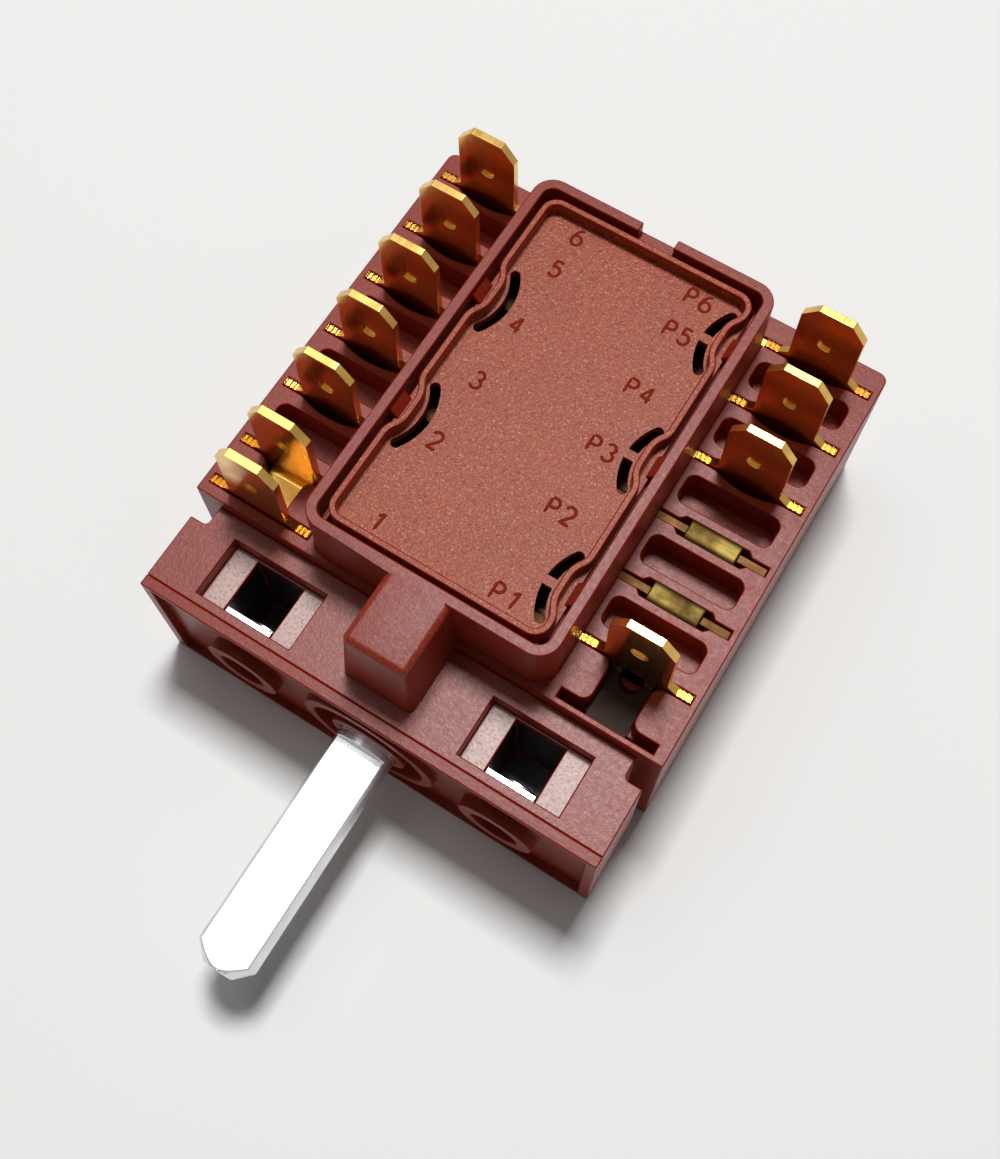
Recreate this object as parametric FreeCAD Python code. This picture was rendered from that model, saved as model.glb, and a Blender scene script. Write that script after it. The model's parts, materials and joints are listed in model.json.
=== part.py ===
"""Oven selector switch: a rotary cam switch with two rows of 6.3 mm tabs, in millimetres.

The origin lies on the shaft's axis, in the plane of the two screw bosses' faces. X runs across,
Y from the front to the back, Z up through the tabs.
"""
import FreeCAD, Part
import math
import os

# Control shaft
SHAFT_DIAMETER = 6.0
SHAFT_ACROSS_FLAT = 4.6
SHAFT_REACH = 23.0
SHAFT_FLAT_START = 0.5
SHAFT_TIP_CHAMFER = 1.5
DRIVE_ACROSS_FLATS = 4.8
DRIVE_DEPTH = 12.0

# Fixing
SCREW_PITCH = 28.0
SCREW_HOLE_DIAMETER = 4.8
SCREW_BOSS_DIAMETER = 7.75
SCREW_BOSS_RISE = 0.45

# Front plate
PLATE_LIP = 1.1
PLATE_RECESS = 0.8
PLATE_SPIGOT = 0.9
PLATE_SPIGOT_INSET = 0.6
PLATE_RIM_SIDE = 1.1
PLATE_RIM_TOP = 0.5
HUB_DIAMETER = 8.0
HUB_BACK = 1.35
COLLAR_DIAMETER = 14.2
COLLAR_BORE = 11.8
HUB_FLANGE_DIAMETER = 13.4
HUB_FLANGE = 0.7

# Front housing
BLOCK_WIDTH = 48.0
BLOCK_HEIGHT = 17.7
BLOCK_DEPTH = 8.82
BLOCK_REAR_WALL = 1.6
NOTCH_WIDTH = 1.8
NOTCH_DEPTH = 2.13
NOTCH_RADIUS = 0.5
DETENT_CAVITY_DIAMETER = 14.6
REGISTER_DIAMETER = 15.0
REGISTER_DEPTH = 0.8
WINDOW_WIDTH = 10.2
WINDOW_LENGTH = 5.95
WINDOW_LEDGE_DEPTH = 1.65
WINDOW_SLOT = 5.1
WINDOW_SLOT_BACK = 0.35
SCREW_POCKET_DEPTH = 4.0

# Contact housing
DECK_WIDTH = 49.2
DECK_RISE = 1.7
DECK_FIRST_STATION = 6.44
DECK_BACK_MARGIN = 2.81
DECK_CORNER_RADIUS = 0.9
BOX_WIDTH = 25.44
BOX_HEIGHT = 7.4
BOX_FRONT_SETBACK = 0.56
BOX_BACK_MARGIN = 1.14
BOX_WALL = 1.07
BOX_CORNER_RADIUS = 2.2
NOSE_TOP_WIDTH = 6.4
NOSE_FOOT_WIDTH = 7.4
NOSE_FOOT_SETBACK = 1.7
NOSE_TOP_SETBACK = 2.35
NOSE_EDGE_RADIUS = 0.7
RIM_NOTCH_WIDTH = 3.7
RIM_NOTCH_DEPTH = 1.5
CHAMBER_LEDGE = 0.6
CHAMBER_FLOOR_DROP = 1.55
WEB_THICKNESS = 1.4
DRUM_BACK_WALL = 2.5
REAR_BEARING_DEPTH = 1.5

# Stations, one row of terminals on each side
STATION_COUNT = 6
STATION_PITCH = 6.9
TERMINAL_OFFSET = 18.42
SLOT_WIDTH = 0.95
SLOT_END_GAP = 0.06
FRONT_TAB_SETBACK = 4.83
FRONT_SLOT_SETBACK = 5.38
FRONT_SLOT_BOX_GAP = 0.98
FRONT_SLOT_EDGE = 1.25
FRONT_SLOT_DEPTH = 5.5
CHANNEL_CORNER_RADIUS = 1.0
POCKET_BOX_GAP = 0.68
POCKET_EDGE = 1.7
POCKET_LENGTH = 3.12
POCKET_DEPTH = 3.4
POCKET_RADIUS = 0.9
RELIEF_WIDTH = 6.4
RELIEF_FRONT = 1.1
RELIEF_DEPTH = 4.0
ROLL_SLOT_WIDTH = 1.9
ROLL_SLOT_END = 0.6
ROLL_SLOT_TAPER = 0.5

# Terminals
TAB_WIDTH = 6.3
TAB_THICKNESS = 0.8
TAB_HEIGHT = 10.02
TAB_CHAMFER = 1.44
TAB_CHAMFER_RISE = 1.83
TAB_DIMPLE_DROP = 5.0
TAB_DIMPLE_DIAMETER = 1.7
TAB_DIMPLE_DEPTH = 0.3
BAR_HALF_WIDTH = 5.44
BAR_ABOVE_DECK = 0.2
BAR_HEIGHT = 1.6
ARM_BELOW_DECK = 0.2
GUSSET_WIDTH = 0.85
GUSSET_RISE = 0.7
COIN_PITCH = 0.48
COIN_DEPTH = 0.25
COINS = 3
LEG_LENGTH = 7.25
PAD_WALL_GAP = 0.65
PAD_WIDTH = 3.0
PAD_LENGTH = 3.7
CONTACT_SETBACK = 2.4
STRIP_WIDTH = 4.05
STRIP_BELOW_DECK = 2.0
P1_BEND_RADIUS = 1.2
T1_BEND_RADIUS = 0.6
P1_HOLE_DIAMETER = 2.3
ROLL_DIAMETER = 1.7
ROLL_LENGTH = 5.2
ROLL_BELOW_DECK = 0.1
ROLL_BAR_BELOW_DECK = 0.4

# Contacts, bridges, springs and pushers
CONTACT_DIAMETER = 3.0
FIXED_CONTACT_HEIGHT = 0.6
MOVING_CONTACT_HEIGHT = 0.5
MOVING_CONTACT_DIAMETER = 2.6
CONTACT_GAP = 0.9
BRIDGE_OVERHANG = 1.3
BRIDGE_WIDTH = 3.3
BRIDGE_WAIST = 2.4
BRIDGE_THICKNESS = 0.5
SPRING_WIRE = 0.4
SPRING_MEAN_DIAMETER = 3.0
SPRING_TURNS = 2.5
PUSHER_WIDTH = 3.0
PUSHER_LENGTH = 2.4
PUSHER_HEAD_WIDTH = 4.6
PUSHER_HEAD = 0.9
PUSHER_LIFT_GAP = 0.3

# Lid
LID_GAP = 0.5
LID_THICKNESS = 1.0
LID_LIP_HEIGHT = 1.45
LID_LIP_WIDTH = 0.65
LID_BELOW_RIM = 0.4
LID_CORNER_RADIUS = 1.7
HOOKS_RIGHT = (1.09, 14.99, 28.79)
HOOKS_LEFT = (8.29, 22.09)
HOOK_LENGTH = 2.4
HOOK_OVERLAP = 0.35
HOOK_HEIGHT = 0.9
SCALLOP_DEPTH = 0.85
SCALLOP_LENGTH = 7.0
SCALLOP_FLAT = 1.6
ARC_SLOT_WIDTH = 1.0
ARC_SLOT_CHORD = 7.5
ARC_SLOT_INSET = 1.45
ARC_SLOT_RISE = 1.0
ARC_WEB = 0.9
SPRING_POST_WIDTH = 1.7
SPRING_POST_HEIGHT = 1.0

# Rotor and detent
DRUM_LOBE_RADIUS = 6.9
DRUM_VALLEY_RADIUS = 5.7
DRUM_RAMP_DEGREES = 5.0
DRUM_JOURNAL_DIAMETER = 5.0
POSITIONS = 12
CLOSED_AT = ((1, 2, 3, 4, 5, 6, 7, 8, 9, 10, 11), (1, 2, 3, 7, 8), (2, 4, 5, 9),
             (3, 4, 6, 10, 11), (1, 5, 6, 7, 9, 10), (6, 8, 9, 11))
WHEEL_DIAMETER = 13.0
WHEEL_THICKNESS = 3.4
BALL_DIAMETER = 3.5
BALL_ENGAGEMENT = 0.9
DETENT_BORE_WALL = 2.0
DETENT_SPRING_WIRE = 0.45
DETENT_SPRING_TURNS = 5.0
CLIP_DIAMETER = 9.0
CLIP_THICKNESS = 0.7
CLIP_GROOVE_DEPTH = 0.5
CLIP_MOUTH = 4.2

# Nut plates and housing screws
NUT_NECK_WIDTH = 5.0
NUT_BODY_WIDTH = 6.6
NUT_THICKNESS = 0.8
NUT_BODY_HALF_HEIGHT = 4.2
NUT_THREAD_MINOR = 3.3
NUT_COLLAR_DIAMETER = 4.8
NUT_COLLAR_DEPTH = 1.1
HOUSING_SCREW_X = 20.3
HOUSING_SCREW_Z = -5.6
HOUSING_SCREW_DIAMETER = 2.5
HOUSING_SCREW_HEAD = 4.4
HOUSING_SCREW_HEAD_HEIGHT = 1.6
HOUSING_SCREW_LENGTH = 13.0

# Clearances
RUNNING_CLEARANCE = 0.05
SEAT_GAP = 0.05
LOOSE_GAP = 0.1
END_FLOAT = 0.3

# Straight steps in one turn of a spring, and sides of a contact tip
COIL_STEPS = 12
TIP_SIDES = 12

# Heights above the shaft's axis
UNDERSIDE = -BLOCK_HEIGHT / 2
BLOCK_TOP = BLOCK_HEIGHT / 2
DECK_TOP = BLOCK_TOP + DECK_RISE
RIM_TOP = DECK_TOP + BOX_HEIGHT
CHAMBER_FLOOR = DECK_TOP - CHAMBER_FLOOR_DROP
DRUM_BORE_RADIUS = CHAMBER_FLOOR - WEB_THICKNESS
BAR_TOP = DECK_TOP + BAR_ABOVE_DECK
ARM_TOP = DECK_TOP - ARM_BELOW_DECK
BAR_BOTTOM = ARM_TOP - BAR_HEIGHT
ARM_BOTTOM = CHAMBER_FLOOR + SEAT_GAP
LID_TOP = RIM_TOP - LID_BELOW_RIM
PANEL_TOP = LID_TOP - LID_LIP_HEIGHT
PANEL_BOTTOM = PANEL_TOP - LID_THICKNESS
PAD_TOP = ARM_BOTTOM + TAB_THICKNESS
FIXED_CONTACT_TOP = PAD_TOP + FIXED_CONTACT_HEIGHT
BRIDGE_BOTTOM = FIXED_CONTACT_TOP + CONTACT_GAP + MOVING_CONTACT_HEIGHT
BRIDGE_TOP = BRIDGE_BOTTOM + BRIDGE_THICKNESS
STRIP_TOP = DECK_TOP - STRIP_BELOW_DECK
STRIP_BOTTOM = STRIP_TOP - TAB_THICKNESS

# Places along the axis
RIM_FRONT = SCREW_BOSS_RISE
JOINT = RIM_FRONT + PLATE_LIP
PLATE_FLOOR = RIM_FRONT + PLATE_RECESS
PLATE_BACK = JOINT + PLATE_SPIGOT
POCKET_FLOOR = PLATE_BACK + SEAT_GAP
HUB_END = PLATE_BACK + HUB_BACK
CLIP_FRONT = HUB_END + LOOSE_GAP
WHEEL_FRONT = CLIP_FRONT + CLIP_THICKNESS + END_FLOAT
WHEEL_BACK = WHEEL_FRONT + WHEEL_THICKNESS
BLOCK_BACK = JOINT + BLOCK_DEPTH
CAVITY_BACK = BLOCK_BACK - BLOCK_REAR_WALL
REGISTER_BACK = BLOCK_BACK + REGISTER_DEPTH
DRUM_FRONT = REGISTER_BACK + END_FLOAT
STATIONS = [BLOCK_BACK + DECK_FIRST_STATION + i * STATION_PITCH for i in range(STATION_COUNT)]
BODY_BACK = STATIONS[-1] + DECK_BACK_MARGIN
BOX_FRONT = BLOCK_BACK + BOX_FRONT_SETBACK
BOX_BACK = STATIONS[-1] + BOX_BACK_MARGIN
DRUM_BORE_END = BODY_BACK - DRUM_BACK_WALL
DRUM_BACK = DRUM_BORE_END - END_FLOAT
SHAFT_BACK = DRUM_FRONT + DRIVE_DEPTH
FRONT_TAB = STATIONS[0] - FRONT_TAB_SETBACK
FRONT_SLOT = STATIONS[0] - FRONT_SLOT_SETBACK
BALL_HEIGHT = WHEEL_DIAMETER / 2 - BALL_ENGAGEMENT + BALL_DIAMETER / 2
DETENT_BORE_TOP = RIM_TOP - DETENT_BORE_WALL
WHEEL_MIDDLE = (WHEEL_FRONT + WHEEL_BACK) / 2
LID_FRONT = BOX_FRONT + BOX_WALL + LID_GAP
LID_BACK = BOX_BACK - BOX_WALL - LID_GAP

# Places to the side of the middle plane
BOX_INSIDE = BOX_WIDTH / 2 - BOX_WALL
LID_HALF_WIDTH = BOX_INSIDE - LID_GAP
ARM_END = BOX_INSIDE - CHAMBER_LEDGE - PAD_WALL_GAP - PAD_WIDTH
CONTACT_X = ARM_END + PAD_WIDTH / 2
POCKET_IN = BOX_WIDTH / 2 + POCKET_BOX_GAP
POCKET_OUT = DECK_WIDTH / 2 - POCKET_EDGE
FRONT_SLOT_IN = BOX_WIDTH / 2 + FRONT_SLOT_BOX_GAP
FRONT_SLOT_OUT = DECK_WIDTH / 2 - FRONT_SLOT_EDGE


def box(x0, x1, y0, y1, z0, z1):
    """A plain block between two corners."""
    return Part.makeBox(x1 - x0, y1 - y0, z1 - z0, FreeCAD.Vector(x0, y0, z0))


def along_y(radius, y0, y1, x=0.0, z=0.0):
    """A cylinder that runs from y0 to y1."""
    return Part.makeCylinder(radius, y1 - y0, FreeCAD.Vector(x, y0, z), FreeCAD.Vector(0, 1, 0))


def along_z(radius, z0, z1, x=0.0, y=0.0):
    """A cylinder that runs from z0 to z1."""
    return Part.makeCylinder(radius, z1 - z0, FreeCAD.Vector(x, y, z0))


def rounded_outline(x0, x1, y0, y1, z, radius):
    """A rectangle with round corners, as a wire at height z."""
    corners = [(x1 - radius, y1 - radius, 0), (x0 + radius, y1 - radius, 90),
               (x0 + radius, y0 + radius, 180), (x1 - radius, y0 + radius, 270)]
    arcs = []
    for x, y, start in corners:
        arcs.append(Part.makeCircle(radius, FreeCAD.Vector(x, y, z), FreeCAD.Vector(0, 0, 1),
                                    start, start + 90))
    edges = []
    for arc, following in zip(arcs, arcs[1:] + arcs[:1]):
        edges.append(arc)
        edges.append(Part.makeLine(arc.lastVertex().Point, following.firstVertex().Point))
    return Part.Wire(edges)


def rounded_block(x0, x1, y0, y1, z0, z1, radius):
    """A block whose upright edges are round."""
    return Part.Face(rounded_outline(x0, x1, y0, y1, z0, radius)).extrude(
        FreeCAD.Vector(0, 0, z1 - z0))


def plate_xz(points, y0, y1):
    """A flat stamping: an outline in X and Z, given a thickness along Y."""
    wire = Part.makePolygon([FreeCAD.Vector(x, y0, z) for x, z in points + points[:1]])
    return Part.Face(wire).extrude(FreeCAD.Vector(0, y1 - y0, 0))


def joined(shapes):
    """One solid from pieces that touch or overlap."""
    return shapes[0].multiFuse(shapes[1:]).removeSplitter()


def sided(shape, side):
    """The shape itself on the right, its mirror image on the left."""
    if side > 0:
        return shape
    return shape.mirror(FreeCAD.Vector(0, 0, 0), FreeCAD.Vector(1, 0, 0))


def face_of(points):
    """A flat face with straight edges."""
    return Part.Face(Part.makePolygon(points + points[:1]))


def coil(mean_radius, wire, z0, z1, turns):
    """A compression spring of square wire between two heights, turned in short straight steps."""
    steps = round(turns * COIL_STEPS)
    half = wire / 2
    section = ((-half, -half), (half, -half), (half, half), (-half, half))
    rings = []
    for step in range(steps + 1):
        turn = 2 * math.pi * step / COIL_STEPS
        middle = z0 + half + (z1 - z0 - wire) * step / steps
        rings.append([FreeCAD.Vector((mean_radius + dx) * math.cos(turn),
                                     (mean_radius + dx) * math.sin(turn), middle + dz)
                      for dx, dz in section])
    faces = [face_of(rings[0]), face_of(rings[-1][::-1])]
    for near, far in zip(rings, rings[1:]):
        under_in, under_out, top_out, top_in = zip(near, far)
        faces.append(face_of([under_out[1], top_out[1], top_out[0], under_out[0]]))
        faces.append(face_of([top_in[1], under_in[1], under_in[0], top_in[0]]))
        for first, second in ((under_in, under_out), (top_out, top_in)):
            faces.append(face_of([second[0], first[0], first[1]]))
            faces.append(face_of([second[0], first[1], second[1]]))
    return Part.Solid(Part.Shell(faces))


def front_plate():
    """Rimmed plate with the two screw bosses, the shaft's hub and the collar round it."""
    half_w = BLOCK_WIDTH / 2
    lip = box(-half_w, half_w, RIM_FRONT, JOINT, UNDERSIDE, BLOCK_TOP)
    inset = PLATE_SPIGOT_INSET
    spigot = box(-half_w + inset, half_w - inset, JOINT, PLATE_BACK,
                 UNDERSIDE + inset, BLOCK_TOP - inset)
    recess = box(-half_w + PLATE_RIM_SIDE, half_w - PLATE_RIM_SIDE, RIM_FRONT, PLATE_FLOOR,
                 UNDERSIDE + PLATE_RIM_TOP, BLOCK_TOP - PLATE_RIM_TOP)
    plate = lip.fuse(spigot).cut(recess)
    collar = along_y(COLLAR_DIAMETER / 2, RIM_FRONT, PLATE_FLOOR)
    flange = along_y(HUB_FLANGE_DIAMETER / 2, PLATE_BACK, PLATE_BACK + HUB_FLANGE)
    groove = along_y(COLLAR_BORE / 2, RIM_FRONT, PLATE_BACK)
    hub = along_y(HUB_DIAMETER / 2, RIM_FRONT, HUB_END)
    pieces = [plate, collar, flange]
    for side in (-1, 1):
        pieces.append(along_y(SCREW_BOSS_DIAMETER / 2, 0, PLATE_FLOOR, side * SCREW_PITCH / 2))
    plate = joined(pieces).cut(groove).fuse(hub)
    holes = [along_y(SHAFT_DIAMETER / 2 + RUNNING_CLEARANCE, 0, HUB_END)]
    for side in (-1, 1):
        holes.append(along_y(SCREW_HOLE_DIAMETER / 2, 0, PLATE_BACK, side * SCREW_PITCH / 2))
    return plate.cut(holes).removeSplitter()


def front_housing():
    """Block behind the front plate: detent cavity, screw pockets and windows."""
    half_w = BLOCK_WIDTH / 2
    block = box(-half_w, half_w, JOINT, BLOCK_BACK, UNDERSIDE, BLOCK_TOP)
    register = along_y(REGISTER_DIAMETER / 2, BLOCK_BACK, REGISTER_BACK)
    cuts = []
    inset = PLATE_SPIGOT_INSET - SEAT_GAP
    cuts.append(box(-half_w + inset, half_w - inset, JOINT, POCKET_FLOOR,
                    UNDERSIDE + inset, BLOCK_TOP - inset))
    cuts.append(along_y(DETENT_CAVITY_DIAMETER / 2, JOINT, CAVITY_BACK))
    cuts.append(along_y(SHAFT_DIAMETER / 2 + RUNNING_CLEARANCE, JOINT, REGISTER_BACK))
    cuts.append(along_z(BALL_DIAMETER / 2 + LOOSE_GAP, 0, BLOCK_TOP, 0, WHEEL_MIDDLE))
    window_back = POCKET_FLOOR + WINDOW_LENGTH
    ledge = BLOCK_TOP - WINDOW_LEDGE_DEPTH
    for side in (-1, 1):
        x = side * SCREW_PITCH / 2
        cuts.append(box(x - WINDOW_WIDTH / 2, x + WINDOW_WIDTH / 2, POCKET_FLOOR, window_back,
                        ledge, BLOCK_TOP))
        cuts.append(box(x - WINDOW_SLOT / 2, x + WINDOW_SLOT / 2, POCKET_FLOOR,
                        window_back - WINDOW_SLOT_BACK, -SCREW_POCKET_DEPTH, ledge))
        nut_half = NUT_BODY_WIDTH / 2 + SEAT_GAP
        nut_high = NUT_BODY_HALF_HEIGHT + SEAT_GAP
        cuts.append(box(x - nut_half, x + nut_half, POCKET_FLOOR,
                        POCKET_FLOOR + NUT_THICKNESS + SEAT_GAP, -nut_high, nut_high))
        sx = side * HOUSING_SCREW_X
        cuts.append(along_y(HOUSING_SCREW_DIAMETER / 2 + LOOSE_GAP, POCKET_FLOOR, BLOCK_BACK,
                            sx, HOUSING_SCREW_Z))
        cuts.append(along_y(HOUSING_SCREW_HEAD / 2 + LOOSE_GAP, POCKET_FLOOR,
                            POCKET_FLOOR + HOUSING_SCREW_HEAD_HEIGHT + LOOSE_GAP,
                            sx, HOUSING_SCREW_Z))
        x_in, x_out = sorted((side * (half_w - NOTCH_WIDTH), side * (half_w + 2 * NOTCH_RADIUS)))
        cuts.append(rounded_block(x_in, x_out, BLOCK_BACK - NOTCH_DEPTH,
                                  BLOCK_BACK + 2 * NOTCH_RADIUS, UNDERSIDE, BLOCK_TOP,
                                  NOTCH_RADIUS))
    return joined([block, register]).cut(cuts).removeSplitter()


def chamber():
    """The space under the lid, wider above the ledge that the lid sits on."""
    half = BOX_INSIDE
    front = BOX_FRONT + BOX_WALL
    back = BOX_BACK - BOX_WALL
    upper = rounded_block(-half, half, front, back, PANEL_BOTTOM, RIM_TOP,
                          BOX_CORNER_RADIUS - BOX_WALL)
    ledge = CHAMBER_LEDGE
    lower = box(-half + ledge, half - ledge, front + ledge, back - ledge,
                CHAMBER_FLOOR, PANEL_BOTTOM)
    return [upper, lower]


def terminal_cuts(side, index):
    """Slot, leg pocket and relief of one terminal."""
    y = STATIONS[index]
    half = SLOT_WIDTH / 2
    bar_in = TERMINAL_OFFSET - BAR_HALF_WIDTH - SLOT_END_GAP
    bar_out = TERMINAL_OFFSET + BAR_HALF_WIDTH + SLOT_END_GAP
    tab_in = TERMINAL_OFFSET - TAB_WIDTH / 2 - SLOT_END_GAP
    tab_out = TERMINAL_OFFSET + TAB_WIDTH / 2 + SLOT_END_GAP
    leg_end = BAR_BOTTOM - LEG_LENGTH - SEAT_GAP
    cuts = [box(bar_in, bar_out, y - half, y + half, BAR_BOTTOM - SEAT_GAP, DECK_TOP),
            box(tab_in, tab_out, y - half, y + half, leg_end, DECK_TOP),
            box(ARM_END - SLOT_END_GAP, bar_in, y - half, y + half, CHAMBER_FLOOR, DECK_TOP),
            box(ARM_END - SLOT_END_GAP, ARM_END + PAD_WIDTH + SLOT_END_GAP, y - PAD_LENGTH,
                y + half, CHAMBER_FLOOR, DECK_TOP)]
    if (side, index) in ((1, 1), (1, 2)):
        roll = ROLL_SLOT_WIDTH / 2
        wide = ROLL_LENGTH / 2 + ROLL_SLOT_END
        tip = wide + ROLL_SLOT_TAPER
        low = DECK_TOP - ROLL_BELOW_DECK - ROLL_DIAMETER - SEAT_GAP
        rim = [(-tip, -half), (-wide, -roll), (wide, -roll), (tip, -half),
               (tip, half), (wide, roll), (-wide, roll), (-tip, half)]
        mouth = face_of([FreeCAD.Vector(TERMINAL_OFFSET + dx, y + dy, low) for dx, dy in rim])
        cuts.append(mouth.extrude(FreeCAD.Vector(0, 0, DECK_TOP - low)))
    elif index > 0:
        start = FreeCAD.Vector(TERMINAL_OFFSET - RELIEF_WIDTH / 2, y - half, DECK_TOP - RELIEF_DEPTH)
        end = FreeCAD.Vector(TERMINAL_OFFSET + RELIEF_WIDTH / 2, y - half, DECK_TOP - RELIEF_DEPTH)
        front = FreeCAD.Vector(TERMINAL_OFFSET, y - RELIEF_FRONT, DECK_TOP - RELIEF_DEPTH)
        arc = Part.Arc(start, front, end).toShape()
        face = Part.Face(Part.Wire([arc, Part.makeLine(end, start)]))
        cuts.append(face.extrude(FreeCAD.Vector(0, 0, RELIEF_DEPTH)))
    return [sided(cut, side) for cut in cuts]


def front_recess(side):
    """Slot at the front of the deck and the channel that joins it to the first station."""
    slot_y = FRONT_SLOT if side > 0 else FRONT_TAB
    half = SLOT_WIDTH / 2
    half_strip = STRIP_WIDTH / 2 + LOOSE_GAP
    back = STATIONS[0]
    corner = CHANNEL_CORNER_RADIUS
    floor = STRIP_BOTTOM - SEAT_GAP
    cuts = [box(FRONT_SLOT_IN, FRONT_SLOT_OUT, slot_y - half, slot_y + half,
                DECK_TOP - FRONT_SLOT_DEPTH, DECK_TOP)]
    if side < 0:
        tab_half = TAB_WIDTH / 2 + SLOT_END_GAP
        bar_half = BAR_HALF_WIDTH + SLOT_END_GAP
        cuts[0] = box(TERMINAL_OFFSET - bar_half, TERMINAL_OFFSET + bar_half,
                      slot_y - half, slot_y + half, BAR_BOTTOM - SEAT_GAP, DECK_TOP)
        cuts.append(box(TERMINAL_OFFSET - tab_half, TERMINAL_OFFSET + tab_half,
                        slot_y - half, slot_y + half, floor, DECK_TOP))
    cuts.append(box(TERMINAL_OFFSET - half_strip, TERMINAL_OFFSET + half_strip, slot_y, back,
                    floor, DECK_TOP))
    for outward in (-1, 1):
        x = TERMINAL_OFFSET + outward * half_strip
        for y, inward in ((slot_y + half, 1), (back - half, -1)):
            square = box(min(x, x + outward * corner), max(x, x + outward * corner),
                         min(y, y + inward * corner), max(y, y + inward * corner),
                         floor, DECK_TOP)
            round_post = along_z(corner, floor, DECK_TOP, x + outward * corner,
                                 y + inward * corner)
            cuts.append(square.cut(round_post))
    return [sided(cut, side) for cut in cuts]


def pockets(side):
    """Moulding pockets between the stations of one row."""
    cuts = []
    for near, far in zip(STATIONS, STATIONS[1:]):
        middle = (near + far) / 2
        cuts.append(rounded_block(POCKET_IN, POCKET_OUT, middle - POCKET_LENGTH / 2,
                                  middle + POCKET_LENGTH / 2, DECK_TOP - POCKET_DEPTH, DECK_TOP,
                                  POCKET_RADIUS))
    return [sided(cut, side) for cut in cuts]


def hooks():
    """Snap hooks on the box wall that hold the lid down."""
    root = BOX_INSIDE + BOX_WALL / 2
    tip = LID_HALF_WIDTH - HOOK_OVERLAP
    low = PANEL_TOP + SEAT_GAP
    outline = [(root, low), (tip, low), (root, low + 2 * HOOK_HEIGHT)]
    shapes = []
    for side, places in ((1, HOOKS_RIGHT), (-1, HOOKS_LEFT)):
        for step in places:
            y = STATIONS[0] + step
            wedge = plate_xz(outline, y - HOOK_LENGTH / 2, y + HOOK_LENGTH / 2)
            shapes.append(sided(wedge, side))
    return shapes


def nose():
    """Detent nose: leaves the box's front wall flush with the rim and stands on the front block."""
    back = BOX_FRONT + BOX_WALL / 2
    wires = []
    for z, half, front in ((BLOCK_TOP, NOSE_FOOT_WIDTH / 2, JOINT + NOSE_FOOT_SETBACK),
                           (RIM_TOP, NOSE_TOP_WIDTH / 2, JOINT + NOSE_TOP_SETBACK)):
        points = [(-half, front), (half, front), (half, back), (-half, back), (-half, front)]
        wires.append(Part.makePolygon([FreeCAD.Vector(x, y, z) for x, y in points]))
    solid = Part.makeLoft(wires, True, True)
    round_edges = []
    for edge in solid.Edges:
        middle = edge.CenterOfMass
        if middle.z > BLOCK_TOP + SEAT_GAP and middle.y < back - SEAT_GAP:
            round_edges.append(edge)
    return solid.makeFillet(NOSE_EDGE_RADIUS, round_edges)


def contact_housing():
    """Terminal deck, raised cam box and detent nose, with the drum's bore and the slots."""
    half_w = DECK_WIDTH / 2
    radius = DECK_CORNER_RADIUS
    deck = rounded_block(-half_w, half_w, BLOCK_BACK - 2 * radius, BODY_BACK, UNDERSIDE, DECK_TOP,
                         radius)
    front_trim = box(-half_w, half_w, BLOCK_BACK - 2 * radius, BLOCK_BACK, UNDERSIDE, DECK_TOP)
    deck = deck.cut(front_trim)
    raised = rounded_block(-BOX_WIDTH / 2, BOX_WIDTH / 2, BOX_FRONT, BOX_BACK, DECK_TOP, RIM_TOP,
                           BOX_CORNER_RADIUS)
    cuts = chamber()
    cuts.append(along_z(BALL_DIAMETER / 2 + LOOSE_GAP, BLOCK_TOP, DETENT_BORE_TOP, 0, WHEEL_MIDDLE))
    cuts.append(box(-RIM_NOTCH_WIDTH / 2, RIM_NOTCH_WIDTH / 2, BOX_BACK - 2 * BOX_WALL, BOX_BACK,
                    RIM_TOP - RIM_NOTCH_DEPTH, RIM_TOP))
    cuts.append(along_y(DRUM_BORE_RADIUS, BLOCK_BACK, DRUM_BORE_END))
    cuts.append(along_y(DRUM_JOURNAL_DIAMETER / 2 + RUNNING_CLEARANCE, DRUM_BORE_END,
                        DRUM_BORE_END + REAR_BEARING_DEPTH))
    guide_x = PUSHER_WIDTH / 2 + LOOSE_GAP
    guide_y = PUSHER_LENGTH / 2 + LOOSE_GAP
    for y in STATIONS:
        middle = y - CONTACT_SETBACK
        cuts.append(box(-guide_x, guide_x, middle - guide_y, middle + guide_y,
                        0, CHAMBER_FLOOR))
    for side in (-1, 1):
        for index in range(STATION_COUNT):
            cuts += terminal_cuts(side, index)
        cuts += front_recess(side)
        cuts += pockets(side)
        cuts.append(along_y(HOUSING_SCREW_DIAMETER / 2, BLOCK_BACK,
                            POCKET_FLOOR + HOUSING_SCREW_LENGTH + LOOSE_GAP,
                            side * HOUSING_SCREW_X, HOUSING_SCREW_Z))
    body = joined([deck, raised, nose()]).cut(cuts)
    return joined([body] + hooks())


def lip_side(x, places):
    """Points and curves of one long side of the lid's lip, with a scallop at each hook."""
    edges = []
    inward = -1 if x > 0 else 1
    y = LID_FRONT + LID_CORNER_RADIUS
    deep = x + inward * SCALLOP_DEPTH
    for step in places:
        middle = STATIONS[0] + step
        start, end = middle - SCALLOP_LENGTH / 2, middle + SCALLOP_LENGTH / 2
        low, high = middle - SCALLOP_FLAT / 2, middle + SCALLOP_FLAT / 2
        edges.append(Part.makeLine(FreeCAD.Vector(x, y, 0), FreeCAD.Vector(x, start, 0)))
        edges += s_curve(x, start, deep, low)
        edges.append(Part.makeLine(FreeCAD.Vector(deep, low, 0), FreeCAD.Vector(deep, high, 0)))
        edges += s_curve(deep, high, x, end)
        y = end
    edges.append(Part.makeLine(FreeCAD.Vector(x, y, 0),
                               FreeCAD.Vector(x, LID_BACK - LID_CORNER_RADIUS, 0)))
    return edges


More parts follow.
